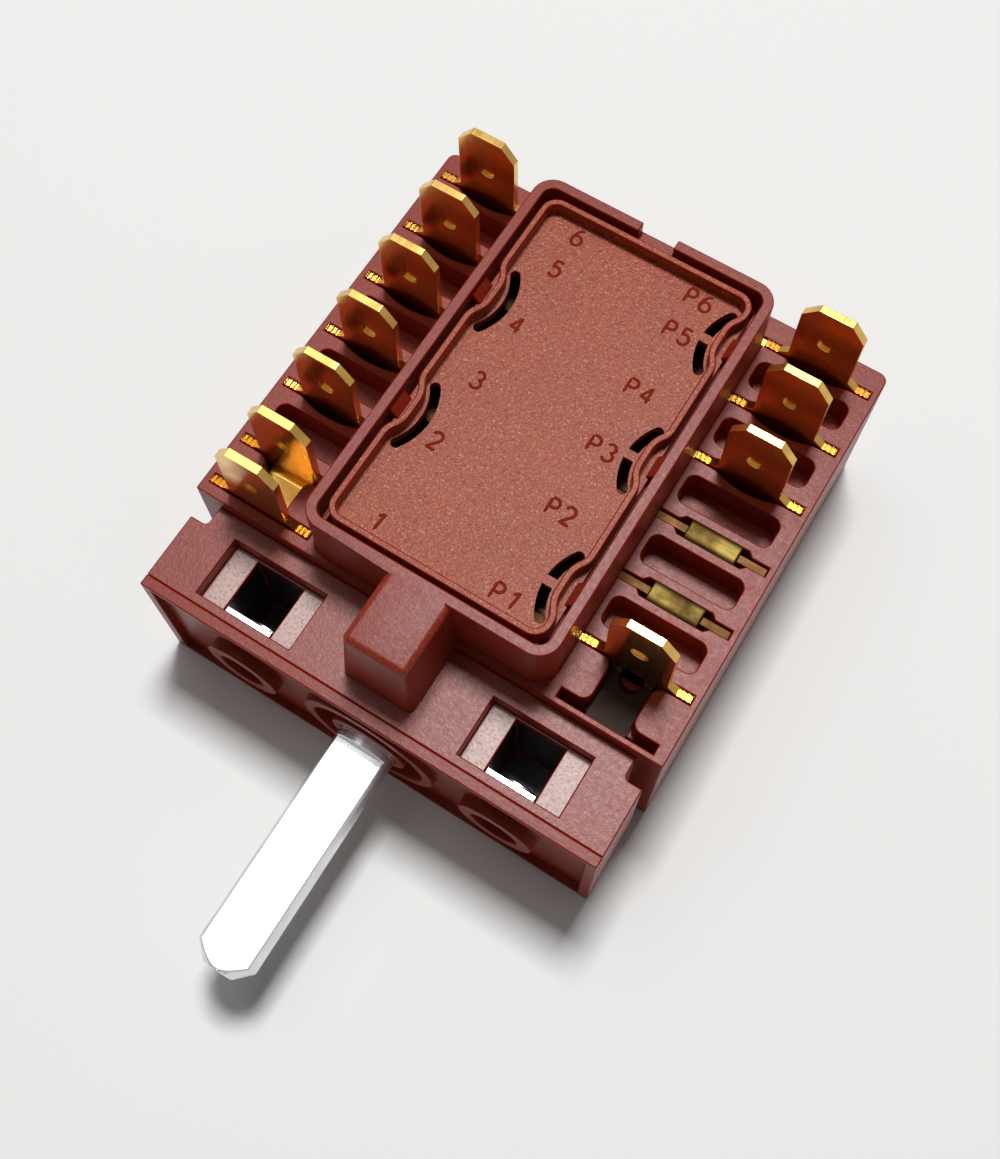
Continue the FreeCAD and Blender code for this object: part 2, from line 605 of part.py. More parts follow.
def s_curve(x0, y0, x1, y1):
    """Two equal arcs that shift a line running along Y from x0 to x1."""
    middle = FreeCAD.Vector((x0 + x1) / 2, (y0 + y1) / 2, 0)
    quarter = (x1 - x0) / 2
    rise = (y1 - y0) / 2
    radius = (quarter ** 2 + rise ** 2) / (2 * abs(quarter))
    turn = math.asin(rise / radius) / 2
    toward = 1 if x1 > x0 else -1
    first = FreeCAD.Vector(x0 + toward * radius * (1 - math.cos(turn)),
                           y0 + radius * math.sin(turn), 0)
    second = FreeCAD.Vector(x1 - toward * radius * (1 - math.cos(turn)),
                            y1 - radius * math.sin(turn), 0)
    return [Part.Arc(FreeCAD.Vector(x0, y0, 0), first, middle).toShape(),
            Part.Arc(middle, second, FreeCAD.Vector(x1, y1, 0)).toShape()]


def lip_outline():
    """Outer outline of the lid's lip, a round-cornered rectangle with scallops in its sides."""
    radius = LID_CORNER_RADIUS
    corners = []
    for x, y, start in ((LID_HALF_WIDTH - radius, LID_BACK - radius, 0),
                        (-LID_HALF_WIDTH + radius, LID_BACK - radius, 90),
                        (-LID_HALF_WIDTH + radius, LID_FRONT + radius, 180),
                        (LID_HALF_WIDTH - radius, LID_FRONT + radius, 270)):
        corners.append(Part.makeCircle(radius, FreeCAD.Vector(x, y, 0), FreeCAD.Vector(0, 0, 1),
                                       start, start + 90))
    ends = [Part.makeLine(corners[0].lastVertex().Point, corners[1].firstVertex().Point),
            Part.makeLine(corners[2].lastVertex().Point, corners[3].firstVertex().Point)]
    sides = lip_side(LID_HALF_WIDTH, HOOKS_RIGHT) + lip_side(-LID_HALF_WIDTH, HOOKS_LEFT)
    return Part.Wire(Part.__sortEdges__(corners + ends + sides))


def arc_slot(side, y, with_web):
    """Curved slot with round ends beside a hook; a narrow web crosses it on the right."""
    half = (ARC_SLOT_CHORD - ARC_SLOT_WIDTH) / 2
    radius = (half ** 2 + ARC_SLOT_RISE ** 2) / (2 * ARC_SLOT_RISE)
    centre_x = LID_HALF_WIDTH - ARC_SLOT_INSET - ARC_SLOT_RISE + radius
    turn = math.degrees(math.asin(half / radius))
    low = PANEL_BOTTOM
    outer = Part.makeCylinder(radius + ARC_SLOT_WIDTH / 2, LID_THICKNESS,
                              FreeCAD.Vector(centre_x, y, low), FreeCAD.Vector(0, 0, 1), 2 * turn)
    inner = along_z(radius - ARC_SLOT_WIDTH / 2, low, PANEL_TOP, centre_x, y)
    outer.rotate(FreeCAD.Vector(centre_x, y, low), FreeCAD.Vector(0, 0, 1), 180 - turn)
    slot = outer.cut(inner)
    end_x = centre_x - radius * math.cos(math.radians(turn))
    slot = joined([slot] + [along_z(ARC_SLOT_WIDTH / 2, low, PANEL_TOP, end_x, y + end)
                            for end in (-half, half)])
    if with_web:
        slot = slot.cut(box(0, LID_HALF_WIDTH, y - ARC_WEB / 2, y + ARC_WEB / 2, low, PANEL_TOP))
    return sided(slot, side)


def lid():
    """Lid of the cam box: thin panel, scalloped lip, slots beside the hooks, spring posts."""
    panel = rounded_block(-LID_HALF_WIDTH, LID_HALF_WIDTH, LID_FRONT, LID_BACK,
                          PANEL_BOTTOM + SEAT_GAP, PANEL_TOP, LID_CORNER_RADIUS)
    outline = lip_outline()
    inner = outline.makeOffset2D(-LID_LIP_WIDTH)
    lip = Part.Face(outline).cut(Part.Face(inner)).extrude(FreeCAD.Vector(0, 0, LID_LIP_HEIGHT))
    lip.translate(FreeCAD.Vector(0, 0, PANEL_TOP))
    posts = []
    post = SPRING_POST_WIDTH / 2
    for y in STATIONS:
        middle = y - CONTACT_SETBACK
        posts.append(box(-post, post, middle - post, middle + post,
                         PANEL_BOTTOM + SEAT_GAP - SPRING_POST_HEIGHT, PANEL_BOTTOM + SEAT_GAP))
    shape = joined([panel, lip] + posts)
    cuts = []
    for side, places in ((1, HOOKS_RIGHT), (-1, HOOKS_LEFT)):
        for step in places:
            cuts.append(arc_slot(side, STATIONS[0] + step, side > 0))
    return shape.cut(cuts).removeSplitter()


def wing(x_tab, x_end):
    """Top of a wing beside a tab: a gusset, then coined notches up to the wing's end."""
    toward = 1 if x_end > x_tab else -1
    points = [(x_tab, BAR_TOP + GUSSET_RISE), (x_tab + toward * GUSSET_WIDTH, BAR_TOP)]
    for coin in range(COINS):
        near = x_tab + toward * (GUSSET_WIDTH + coin * COIN_PITCH)
        points.append((near + toward * COIN_PITCH / 2, BAR_TOP - COIN_DEPTH))
        points.append((near + toward * COIN_PITCH, BAR_TOP))
    return points + [(x_end, BAR_TOP)]


def bar_outline(with_tab, leg):
    """Outline of a terminal's flat part: arm, cross-bar, leg and, where it has one, the tab."""
    bar_in = TERMINAL_OFFSET - BAR_HALF_WIDTH
    bar_out = TERMINAL_OFFSET + BAR_HALF_WIDTH
    tab_in = TERMINAL_OFFSET - TAB_WIDTH / 2
    tab_out = TERMINAL_OFFSET + TAB_WIDTH / 2
    points = [(ARM_END, ARM_BOTTOM), (bar_in, ARM_BOTTOM), (bar_in, BAR_BOTTOM)]
    if leg > 0:
        points += [(tab_in, BAR_BOTTOM), (tab_in, BAR_BOTTOM - leg), (tab_out, BAR_BOTTOM - leg),
                   (tab_out, BAR_BOTTOM)]
    points.append((bar_out, BAR_BOTTOM))
    if with_tab:
        top = DECK_TOP + TAB_HEIGHT
        points += wing(tab_out, bar_out)[::-1]
        points += [(tab_out, top - TAB_CHAMFER_RISE), (tab_out - TAB_CHAMFER, top),
                   (tab_in + TAB_CHAMFER, top), (tab_in, top - TAB_CHAMFER_RISE)]
        points += wing(tab_in, bar_in) + [(bar_in, ARM_TOP)]
    else:
        points.append((bar_out, ARM_TOP))
    return points + [(ARM_END, ARM_TOP)]


def dimple(y_front):
    """Locating dimple of a tab, sunk into its front face."""
    return along_y(TAB_DIMPLE_DIAMETER / 2, y_front, y_front + TAB_DIMPLE_DEPTH,
                   TERMINAL_OFFSET, DECK_TOP + TAB_HEIGHT - TAB_DIMPLE_DROP)


def contact_pad(y):
    """Foot of the arm, folded forward to carry the fixed contact."""
    return box(ARM_END, ARM_END + PAD_WIDTH, y + TAB_THICKNESS / 2 - PAD_LENGTH - TAB_THICKNESS,
               y + TAB_THICKNESS / 2, ARM_BOTTOM, PAD_TOP)


def plain_terminal(side, index):
    """Terminal with one tab."""
    y = STATIONS[index]
    half = TAB_THICKNESS / 2
    flat = plate_xz(bar_outline(True, LEG_LENGTH), y - half, y + half)
    return sided(joined([flat, contact_pad(y)]).cut(dimple(y - half)), side)


def blank_contact(side, index):
    """Contact with no tab, its top edge rolled over in the slot, its ends low in the deck."""
    y = STATIONS[index]
    half = TAB_THICKNESS / 2
    start = TERMINAL_OFFSET - ROLL_LENGTH / 2
    axis = DECK_TOP - ROLL_BELOW_DECK - ROLL_DIAMETER / 2
    flat = plate_xz(bar_outline(False, LEG_LENGTH), y - half, y + half)
    flat = flat.cut(box(start, start + ROLL_LENGTH, y - half, y + half, axis, BAR_TOP))
    flat = flat.cut(box(0, DECK_WIDTH / 2, y - half, y + half, DECK_TOP - ROLL_BAR_BELOW_DECK, BAR_TOP))
    roll = Part.makeCylinder(ROLL_DIAMETER / 2, ROLL_LENGTH, FreeCAD.Vector(start, y, axis),
                             FreeCAD.Vector(1, 0, 0))
    return sided(joined([flat, contact_pad(y), roll]), side)


def folded_strip(y_plate, toward, y_end, radius):
    """Strip that leaves an upright tab in a bend and lies flat in the channel."""
    face_y = y_plate + toward * TAB_THICKNESS / 2
    back_y = y_plate - toward * TAB_THICKNESS / 2
    centre_y = face_y + toward * radius
    centre_z = STRIP_TOP + radius
    outer = radius + TAB_THICKNESS
    slant = math.sqrt(0.5)
    x0 = TERMINAL_OFFSET - STRIP_WIDTH / 2

    def point(y, z):
        return FreeCAD.Vector(x0, y, z)

    def bend(r):
        return Part.Arc(point(centre_y - toward * r, centre_z),
                        point(centre_y - toward * r * slant, centre_z - r * slant),
                        point(centre_y, centre_z - r)).toShape()

    edges = [bend(radius),
             Part.makeLine(point(centre_y, STRIP_TOP), point(y_end, STRIP_TOP)),
             Part.makeLine(point(y_end, STRIP_TOP), point(y_end, STRIP_BOTTOM)),
             Part.makeLine(point(y_end, STRIP_BOTTOM), point(centre_y, STRIP_BOTTOM)),
             bend(outer),
             Part.makeLine(point(back_y, centre_z), point(back_y, ARM_TOP)),
             Part.makeLine(point(back_y, ARM_TOP), point(face_y, ARM_TOP)),
             Part.makeLine(point(face_y, ARM_TOP), point(face_y, centre_z))]
    face = Part.Face(Part.Wire(Part.__sortEdges__(edges)))
    return face.extrude(FreeCAD.Vector(STRIP_WIDTH, 0, 0))


def double_terminal():
    """Terminal 1: two tabs joined by a strip in the channel between them."""
    half = TAB_THICKNESS / 2
    rear = STATIONS[0]
    middle = (rear + FRONT_TAB) / 2
    rear_flat = plate_xz(bar_outline(True, 0), rear - half, rear + half)
    inner_cut = box(0, TERMINAL_OFFSET - BAR_HALF_WIDTH, FRONT_TAB - half, FRONT_TAB + half,
                    UNDERSIDE, RIM_TOP)
    front_flat = plate_xz(bar_outline(True, 0), FRONT_TAB - half, FRONT_TAB + half).cut(inner_cut)
    pieces = [rear_flat, front_flat, contact_pad(rear),
              folded_strip(rear, -1, middle, T1_BEND_RADIUS),
              folded_strip(FRONT_TAB, 1, middle, T1_BEND_RADIUS)]
    shape = joined(pieces).cut([dimple(rear - half), dimple(FRONT_TAB - half)])
    return sided(shape, -1)


def strip_terminal():
    """Terminal P1: one tab whose foot bends forward into the channel, with a hole in the bend."""
    half = TAB_THICKNESS / 2
    y = STATIONS[0]
    flat = plate_xz(bar_outline(True, 0), y - half, y + half)
    strip = folded_strip(y, -1, FRONT_SLOT - SLOT_WIDTH / 2 + SEAT_GAP, P1_BEND_RADIUS)
    slant = math.sqrt(0.5)
    reach = P1_BEND_RADIUS + 2 * TAB_THICKNESS
    centre = FreeCAD.Vector(TERMINAL_OFFSET, y - half - P1_BEND_RADIUS, STRIP_TOP + P1_BEND_RADIUS)
    hole = Part.makeCylinder(P1_HOLE_DIAMETER / 2, reach, centre,
                             FreeCAD.Vector(0, slant, -slant))
    return joined([flat, contact_pad(y), strip]).cut([hole, dimple(y - half)])


def contact_tips(diameter, z0, z1):
    """Two rows of many-sided contact tips, one on each side of every station."""
    tips = []
    for y in STATIONS:
        for side in (-1, 1):
            middle = FreeCAD.Vector(side * CONTACT_X, y - CONTACT_SETBACK, z0)
            rim = []
            for corner in range(TIP_SIDES):
                turn = 2 * math.pi * (corner + 0.5) / TIP_SIDES
                rim.append(middle + FreeCAD.Vector(math.cos(turn), math.sin(turn), 0) * (diameter / 2))
            tips.append(face_of(rim).extrude(FreeCAD.Vector(0, 0, z1 - z0)))
    return Part.makeCompound(tips)


def fixed_contacts():
    """Contact tips riveted to the terminals' pads."""
    return contact_tips(CONTACT_DIAMETER, PAD_TOP, FIXED_CONTACT_TOP)


def moving_contacts():
    """Contact tips under both ends of every bridge."""
    return contact_tips(MOVING_CONTACT_DIAMETER, BRIDGE_BOTTOM - MOVING_CONTACT_HEIGHT, BRIDGE_BOTTOM)


def contact_bridge(index):
    """Flat bridge across the chamber, waisted between its ends and its middle."""
    y = STATIONS[index] - CONTACT_SETBACK
    half = BRIDGE_WIDTH / 2
    waist = BRIDGE_WAIST / 2
    end = CONTACT_X + BRIDGE_OVERHANG
    neck_in = SPRING_MEAN_DIAMETER / 2 + SPRING_WIRE + half / 2
    neck_out = CONTACT_X - CONTACT_DIAMETER / 2 - half / 2
    quarter = [(end, half), (neck_out + half / 2, half), (neck_out, waist), (neck_in, waist),
               (neck_in - half / 2, half)]
    right = quarter + [(x, -dy) for x, dy in reversed(quarter)]
    outline = right[:len(quarter)] + [(-x, dy) for x, dy in reversed(quarter)]
    outline += [(-x, -dy) for x, dy in quarter] + right[len(quarter):]
    wire = Part.makePolygon([FreeCAD.Vector(x, y + dy, BRIDGE_BOTTOM) for x, dy in
                             outline + outline[:1]])
    return Part.Face(wire).extrude(FreeCAD.Vector(0, 0, BRIDGE_THICKNESS))


def contact_spring(index):
    """Spring between the lid and a bridge."""
    spring = coil(SPRING_MEAN_DIAMETER / 2, SPRING_WIRE, BRIDGE_TOP + SEAT_GAP, PANEL_BOTTOM,
                  SPRING_TURNS)
    spring.translate(FreeCAD.Vector(0, STATIONS[index] - CONTACT_SETBACK, 0))
    return spring


def pusher(index):
    """Cam follower: a stem in its guide with a wider head under the bridge."""
    y = STATIONS[index] - CONTACT_SETBACK
    half_w = PUSHER_WIDTH / 2
    half_h = PUSHER_HEAD_WIDTH / 2
    foot = DRUM_LOBE_RADIUS + PUSHER_LIFT_GAP
    bevel = half_w / 2
    neck = BRIDGE_BOTTOM - PUSHER_HEAD
    outline = [(-half_w + bevel, foot), (half_w - bevel, foot), (half_w, foot + bevel),
               (half_w, neck), (half_h, neck), (half_h, BRIDGE_BOTTOM), (-half_h, BRIDGE_BOTTOM),
               (-half_h, neck), (-half_w, neck), (-half_w, foot + bevel)]
    return plate_xz(outline, y - PUSHER_LENGTH / 2, y + PUSHER_LENGTH / 2)


def cam(index):
    """One cam of the drum: lobes hold the contacts open, valleys let them close."""
    middle = STATIONS[index] - CONTACT_SETBACK
    y0 = DRUM_FRONT if index == 0 else middle - STATION_PITCH / 2
    y1 = DRUM_BACK if index == STATION_COUNT - 1 else middle + STATION_PITCH / 2
    step = 360.0 / POSITIONS
    radii = [DRUM_VALLEY_RADIUS if p in CLOSED_AT[index] else DRUM_LOBE_RADIUS
             for p in range(POSITIONS)]

    def at(radius, angle):
        turn = math.radians(90 - angle)
        return FreeCAD.Vector(radius * math.cos(turn), y0, radius * math.sin(turn))

    edges = []
    for position, radius in enumerate(radii):
        before = radii[position - 1]
        after = radii[(position + 1) % POSITIONS]
        start = (position - 0.5) * step + (DRUM_RAMP_DEGREES / 2 if before != radius else 0)
        end = (position + 0.5) * step - (DRUM_RAMP_DEGREES / 2 if after != radius else 0)
        edges.append(Part.Arc(at(radius, start), at(radius, (start + end) / 2),
                              at(radius, end)).toShape())
        if after != radius:
            edges.append(Part.makeLine(at(radius, end), at(after, end + DRUM_RAMP_DEGREES)))
    return Part.Face(Part.Wire(edges)).extrude(FreeCAD.Vector(0, y1 - y0, 0))


def drive_profile(y0, y1, gap):
    """Round with two flats: the shaft's drive end, or with a gap the bore that fits over it."""
    radius = SHAFT_DIAMETER / 2 + gap
    half = DRIVE_ACROSS_FLATS / 2 + gap
    return along_y(radius, y0, y1).common(box(-radius, radius, y0, y1, -half, half))


def cam_drum():
    """Drum with one cam for each station, driven by the shaft's two flats."""
    pieces = [along_y(DRUM_JOURNAL_DIAMETER / 2, DRUM_BACK,
                      DRUM_BORE_END + REAR_BEARING_DEPTH - END_FLOAT)]
    for index in range(STATION_COUNT):
        pieces.append(cam(index))
    return joined(pieces).cut(drive_profile(DRUM_FRONT, SHAFT_BACK, RUNNING_CLEARANCE))


def detent_wheel():
    """Wheel with one notch for each position."""
    wheel = along_y(WHEEL_DIAMETER / 2, WHEEL_FRONT, WHEEL_BACK)
    cuts = [drive_profile(WHEEL_FRONT, WHEEL_BACK, RUNNING_CLEARANCE)]
    for position in range(POSITIONS):
        notch = along_y(BALL_DIAMETER / 2 + LOOSE_GAP, WHEEL_FRONT, WHEEL_BACK, 0, BALL_HEIGHT)
        notch.rotate(FreeCAD.Vector(0, 0, 0), FreeCAD.Vector(0, 1, 0), position * 360.0 / POSITIONS)
        cuts.append(notch)
    return wheel.cut(cuts)


def detent_ball():
    """Steel ball that drops into the wheel's notches."""
    return Part.makeSphere(BALL_DIAMETER / 2, FreeCAD.Vector(0, WHEEL_MIDDLE, BALL_HEIGHT))


def detent_spring():
    """Spring in the nose that loads the ball."""
    mean = BALL_DIAMETER / 2 - DETENT_SPRING_WIRE / 2 - LOOSE_GAP
    inner = mean - DETENT_SPRING_WIRE / 2
    seat = BALL_HEIGHT + math.sqrt((BALL_DIAMETER / 2) ** 2 - inner ** 2) + SEAT_GAP
    spring = coil(mean, DETENT_SPRING_WIRE, seat, DETENT_BORE_TOP, DETENT_SPRING_TURNS)
    spring.translate(FreeCAD.Vector(0, WHEEL_MIDDLE, 0))
    return spring


def shaft():
    """Control shaft: flat and chamfered tip in front, two flats for the drum behind."""
    radius = SHAFT_DIAMETER / 2
    tip = Part.makeCone(radius - SHAFT_TIP_CHAMFER, radius, SHAFT_TIP_CHAMFER,
                        FreeCAD.Vector(0, -SHAFT_REACH, 0), FreeCAD.Vector(0, 1, 0))
    rod = along_y(radius, -SHAFT_REACH + SHAFT_TIP_CHAMFER, WHEEL_FRONT)
    flat = box(-radius, radius, -SHAFT_REACH, -SHAFT_FLAT_START,
               SHAFT_ACROSS_FLAT - radius, radius)
    groove_radius = radius - CLIP_GROOVE_DEPTH
    groove = along_y(radius, CLIP_FRONT, CLIP_FRONT + CLIP_THICKNESS).cut(
        along_y(groove_radius, CLIP_FRONT, CLIP_FRONT + CLIP_THICKNESS))
    return joined([tip, rod, drive_profile(WHEEL_FRONT, SHAFT_BACK, 0)]).cut([flat, groove])


def shaft_clip():
    """Open retaining clip in the shaft's groove, behind the hub."""
    ring = along_y(CLIP_DIAMETER / 2, CLIP_FRONT, CLIP_FRONT + CLIP_THICKNESS)
    bore = along_y(SHAFT_DIAMETER / 2 - CLIP_GROOVE_DEPTH, CLIP_FRONT,
                   CLIP_FRONT + CLIP_THICKNESS)
    mouth = box(-CLIP_MOUTH / 2, CLIP_MOUTH / 2, CLIP_FRONT, CLIP_FRONT + CLIP_THICKNESS,
                -CLIP_DIAMETER / 2, 0)
    return ring.cut([bore, mouth])


def nut_plate(side):
    """Plate with a drawn thread; its neck reaches up into the window."""
    x = side * SCREW_PITCH / 2
    back = POCKET_FLOOR + NUT_THICKNESS
    low, high = -NUT_BODY_HALF_HEIGHT, NUT_BODY_HALF_HEIGHT
    top = BLOCK_TOP - WINDOW_LEDGE_DEPTH
    body, neck = NUT_BODY_WIDTH / 2, NUT_NECK_WIDTH / 2
    outline = [(x - body, low), (x + body, low), (x + body, high), (x + neck, high),
               (x + neck, top), (x - neck, top), (x - neck, high), (x - body, high)]
    plate = plate_xz(outline, POCKET_FLOOR, back)
    collar = along_y(NUT_COLLAR_DIAMETER / 2, back, back + NUT_COLLAR_DEPTH, x)
    thread = along_y(NUT_THREAD_MINOR / 2, POCKET_FLOOR, back + NUT_COLLAR_DEPTH, x)
    return joined([plate, collar]).cut(thread)


def housing_screws():
    """Two screws that hold the front housing to the contact housing, heads under the plate."""
    screws = []
    for side in (-1, 1):
        x = side * HOUSING_SCREW_X
        head_back = POCKET_FLOOR + HOUSING_SCREW_HEAD_HEIGHT + LOOSE_GAP
        head = along_y(HOUSING_SCREW_HEAD / 2, head_back - HOUSING_SCREW_HEAD_HEIGHT, head_back,
                       x, HOUSING_SCREW_Z)
        shank = along_y(HOUSING_SCREW_DIAMETER / 2, head_back,
                        POCKET_FLOOR + HOUSING_SCREW_LENGTH, x, HOUSING_SCREW_Z)
        screws.append(joined([head, shank]))
    return Part.makeCompound(screws)


def model():
    """Every sub-part by name."""
    parts = {"contact_housing": contact_housing(), "front_housing": front_housing(),
             "front_plate": front_plate(), "lid": lid(), "shaft": shaft(),
             "shaft_clip": shaft_clip(), "cam_drum": cam_drum(),
             "detent_wheel": detent_wheel(), "detent_ball": detent_ball(),
             "detent_spring": detent_spring(), "nut_plate_left": nut_plate(-1),
             "nut_plate_right": nut_plate(1), "housing_screws": housing_screws(),
             "terminal_1": double_terminal(), "terminal_p1": strip_terminal(),
             "fixed_contacts": fixed_contacts(), "moving_contacts": moving_contacts()}
    for index in range(1, STATION_COUNT):
        number = str(index + 1)
        parts["terminal_" + number] = plain_terminal(-1, index)
        if index < 3:
            parts["contact_p" + number] = blank_contact(1, index)
        else:
            parts["terminal_p" + number] = plain_terminal(1, index)
    for index in range(STATION_COUNT):
        number = str(index + 1)
        parts["contact_bridge_" + number] = contact_bridge(index)
        parts["contact_spring_" + number] = contact_spring(index)
        parts["pusher_" + number] = pusher(index)
    return parts


os.makedirs("parts", exist_ok=True)
for name, shape in model().items():
    shape.exportStep("parts/" + name + ".step")
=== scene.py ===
"""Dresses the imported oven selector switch: moulded body, brass terminals, plated shaft, studio."""

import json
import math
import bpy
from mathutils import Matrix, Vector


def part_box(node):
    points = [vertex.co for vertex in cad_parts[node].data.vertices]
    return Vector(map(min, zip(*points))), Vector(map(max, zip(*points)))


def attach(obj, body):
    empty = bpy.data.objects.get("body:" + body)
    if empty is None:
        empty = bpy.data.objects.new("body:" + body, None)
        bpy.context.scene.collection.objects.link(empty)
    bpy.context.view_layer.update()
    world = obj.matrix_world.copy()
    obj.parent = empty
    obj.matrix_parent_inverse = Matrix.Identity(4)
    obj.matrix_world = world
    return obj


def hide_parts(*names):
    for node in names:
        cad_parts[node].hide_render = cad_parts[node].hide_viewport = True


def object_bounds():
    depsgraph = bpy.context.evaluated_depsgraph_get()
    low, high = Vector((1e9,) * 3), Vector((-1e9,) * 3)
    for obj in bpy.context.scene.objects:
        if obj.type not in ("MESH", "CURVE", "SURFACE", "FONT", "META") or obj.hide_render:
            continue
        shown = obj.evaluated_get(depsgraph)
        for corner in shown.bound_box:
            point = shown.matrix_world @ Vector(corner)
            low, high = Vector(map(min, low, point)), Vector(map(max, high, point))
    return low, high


bl_info = {
    "name": "Oven selector switch",
    "version": (1, 0, 0),
    "blender": (4, 5, 0),
    "location": "3D View > Sidebar > Switch",
    "description": "Dresses the packed oven selector switch and lights it in a plain studio",
    "category": "Object",
}

import bmesh
import bpy
import numpy as np
from mathutils import Matrix

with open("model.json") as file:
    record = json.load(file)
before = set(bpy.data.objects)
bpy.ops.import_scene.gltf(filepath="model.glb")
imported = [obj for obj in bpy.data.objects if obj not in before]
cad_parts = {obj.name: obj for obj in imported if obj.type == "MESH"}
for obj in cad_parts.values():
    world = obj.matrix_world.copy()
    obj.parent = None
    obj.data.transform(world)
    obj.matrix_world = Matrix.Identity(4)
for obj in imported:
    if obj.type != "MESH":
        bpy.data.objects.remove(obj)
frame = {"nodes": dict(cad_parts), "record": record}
CAD_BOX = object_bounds()

MM = 0.001
STATIONS = 6

# Nodes by kind
MOULDINGS = ("contact_housing", "front_housing", "front_plate", "lid")
TABBED = ["terminal_%d" % n for n in range(1, STATIONS + 1)] + [
    "terminal_p1", "terminal_p4", "terminal_p5", "terminal_p6"]
ROLLED = ("contact_p2", "contact_p3")
STEEL = ("shaft", "nut_plate_left", "nut_plate_right")

# Levels and places, measured from the node boxes or in the frame
LEDGE_BELOW_TOP = 1.65 * MM
LEDGE_HALF_BAND = 0.1 * MM
PANEL_BELOW_LIP = 1.45 * MM
LIP_BAND = 0.01 * MM
DECK_TOP = 10.55 * MM
TAB_X = 18.42 * MM
STRIP_HALF_WIDTH = 2.1 * MM
STRIP_TOP = DECK_TOP - 2.0 * MM
STRIP_HALF_BAND = 0.5 * MM
BOX_HALF_WIDTH = 12.0 * MM

# Middle and half size of the wells under the windows, X on either side; the painted shade goes in this
# box
WELL_X = (14.0 * MM, 3.2 * MM)
WELL_Y = (6.0 * MM, 3.6 * MM)
WELL_Z = (-0.4 * MM, 7.3 * MM)

# Rolled tops of the contacts with no tab
ROLL_RADIUS = 0.85 * MM
ROLL_HALF_LENGTH = 2.6 * MM
ROLL_HALF_WIDTH = 1.08 * MM
ROLL_HALF_HEIGHT = 0.62 * MM
ROLL_BELOW_DECK = 0.42 * MM
ROLL_END_SHARE = 0.04
ROLL_END_SCALE = 0.86

# Position numbers: middles of the rows, and middle and prefix of the two columns
NUMBER_ROWS = (14.75, 23.9, 31.0, 37.7, 44.75, 48.8)
NUMBER_COLUMNS = ((-6.8, ""), (6.2, "P"))
NUMBER_PITCH = 1.6 * MM
STROKE_RISE = 0.45

# Edges
MERGE_DISTANCE = 2e-6
FLAT_ANGLE = math.radians(0.6)
SHARP_ANGLE = math.radians(30.0)
EDGE_SEGMENTS = 2

# Studio
AIM = np.array([0.0, 0.02, 0.0])
FLOOR_REACH = 4.0
LIGHTING_STRENGTH = 0.12
MIRRORED_STRENGTH = 0.35
BACKDROP_STRENGTH = 0.70
LAMPS = {
    "lamp": ((-0.08, 0.29, 0.954), 1.6, 0.35, 22.6),
    "ceiling": ((-0.36, 0.10, 0.93), 0.8, 0.34, 0.56),
}
CAMERA_PLACE = (28.559 * MM, -20.437 * MM, 137.315 * MM)
CAMERA_TURN = tuple(math.radians(a) for a in (24.1862, 0.3956, 31.9075))
CAMERA_LENS = 46.61
CAMERA_SHIFT_Y = -0.1035


def low(name):
    """Lowest corner of a node, in metres."""
    return np.array(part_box(name)[0])


def high(name):
    """Highest corner of a node, in metres."""
    return np.array(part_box(name)[1])


def length(name, description, default):
    """A length that a user may change."""
    return bpy.props.FloatProperty(name=name, description=description, default=default, unit="LENGTH")


def tint(name, description, default):
    """A colour that a user may change, as linear values."""
    return bpy.props.FloatVectorProperty(
        name=name, description=description, subtype="COLOR", size=4, default=default)


class SwitchSizes(bpy.types.PropertyGroup):
    """Sizes of the finish that a user would change."""

    moulding_edge: length("Moulding edge", "Radius left on the moulding's edges", 0.13 * MM)
    stamping_edge: length("Stamping edge", "Radius left on the stampings' edges", 0.07 * MM)
    steel_edge: length("Steel edge", "Radius left on turned and cut steel", 0.12 * MM)
    digit_height: length("Digit height", "Height of the position numbers", 1.75 * MM)
    digit_stroke: length("Digit stroke", "Width of the raised strokes of the numbers", 0.30 * MM)
    grain_size: length("Grain size", "Size of the moulding's grain", 0.22 * MM)


class SwitchColours(bpy.types.PropertyGroup):
    """Colours of the finishes, as linear values."""

    moulding: tint("Moulding", "Brown-red thermoset", (0.215, 0.018, 0.006, 1.0))
    brass: tint("Brass", "Stamped brass", (0.86, 0.54, 0.15, 1.0))
    steel: tint("Plated steel", "Bright zinc plate", (0.80, 0.81, 0.82, 1.0))
    floor: tint("Floor", "Pale floor", (0.80, 0.80, 0.785, 1.0))


def sizes():
    """The scene's size settings."""
    return bpy.context.scene.switch_sizes


def colours():
    """The scene's colour settings."""
    return bpy.context.scene.switch_colours


def add_node(tree, kind, settings=None, **inputs):
    """Adds a shader node, sets its properties and its inputs, or links them. An input is named,
    with an underscore for a space, or given as i and its number."""
    made = tree.nodes.new(kind)
    for key, value in (settings or {}).items():
        setattr(made, key, value)
    for key, value in inputs.items():
        socket = made.inputs[int(key[1:])] if key[1:].isdigit() else made.inputs[key.replace("_", " ")]
        if isinstance(value, bpy.types.NodeSocket):
            tree.links.new(value, socket)
        else:
            socket.default_value = value
    return made


def maths(tree, operation, *values, clamp=False):
    """Result of a Math node."""
    inputs = {"i%d" % place: value for place, value in enumerate(values)}
    made = add_node(tree, "ShaderNodeMath", {"operation": operation, "use_clamp": clamp}, **inputs)
    return made.outputs[0]


def remap(tree, value, start, end, to_start=0.0, to_end=1.0):
    """Values from start to end taken to another span, and held inside it."""
    made = add_node(tree, "ShaderNodeMapRange", Value=value)
    for place, bound in enumerate((start, end, to_start, to_end), start=1):
        made.inputs[place].default_value = bound
    return made.outputs[0]


def blend(tree, mask, plain, other):
    """One colour where the mask is 0, the other where it is 1."""
    made = add_node(tree, "ShaderNodeMix", {"data_type": "RGBA"}, i0=mask, i6=plain, i7=other)
    return made.outputs[2]


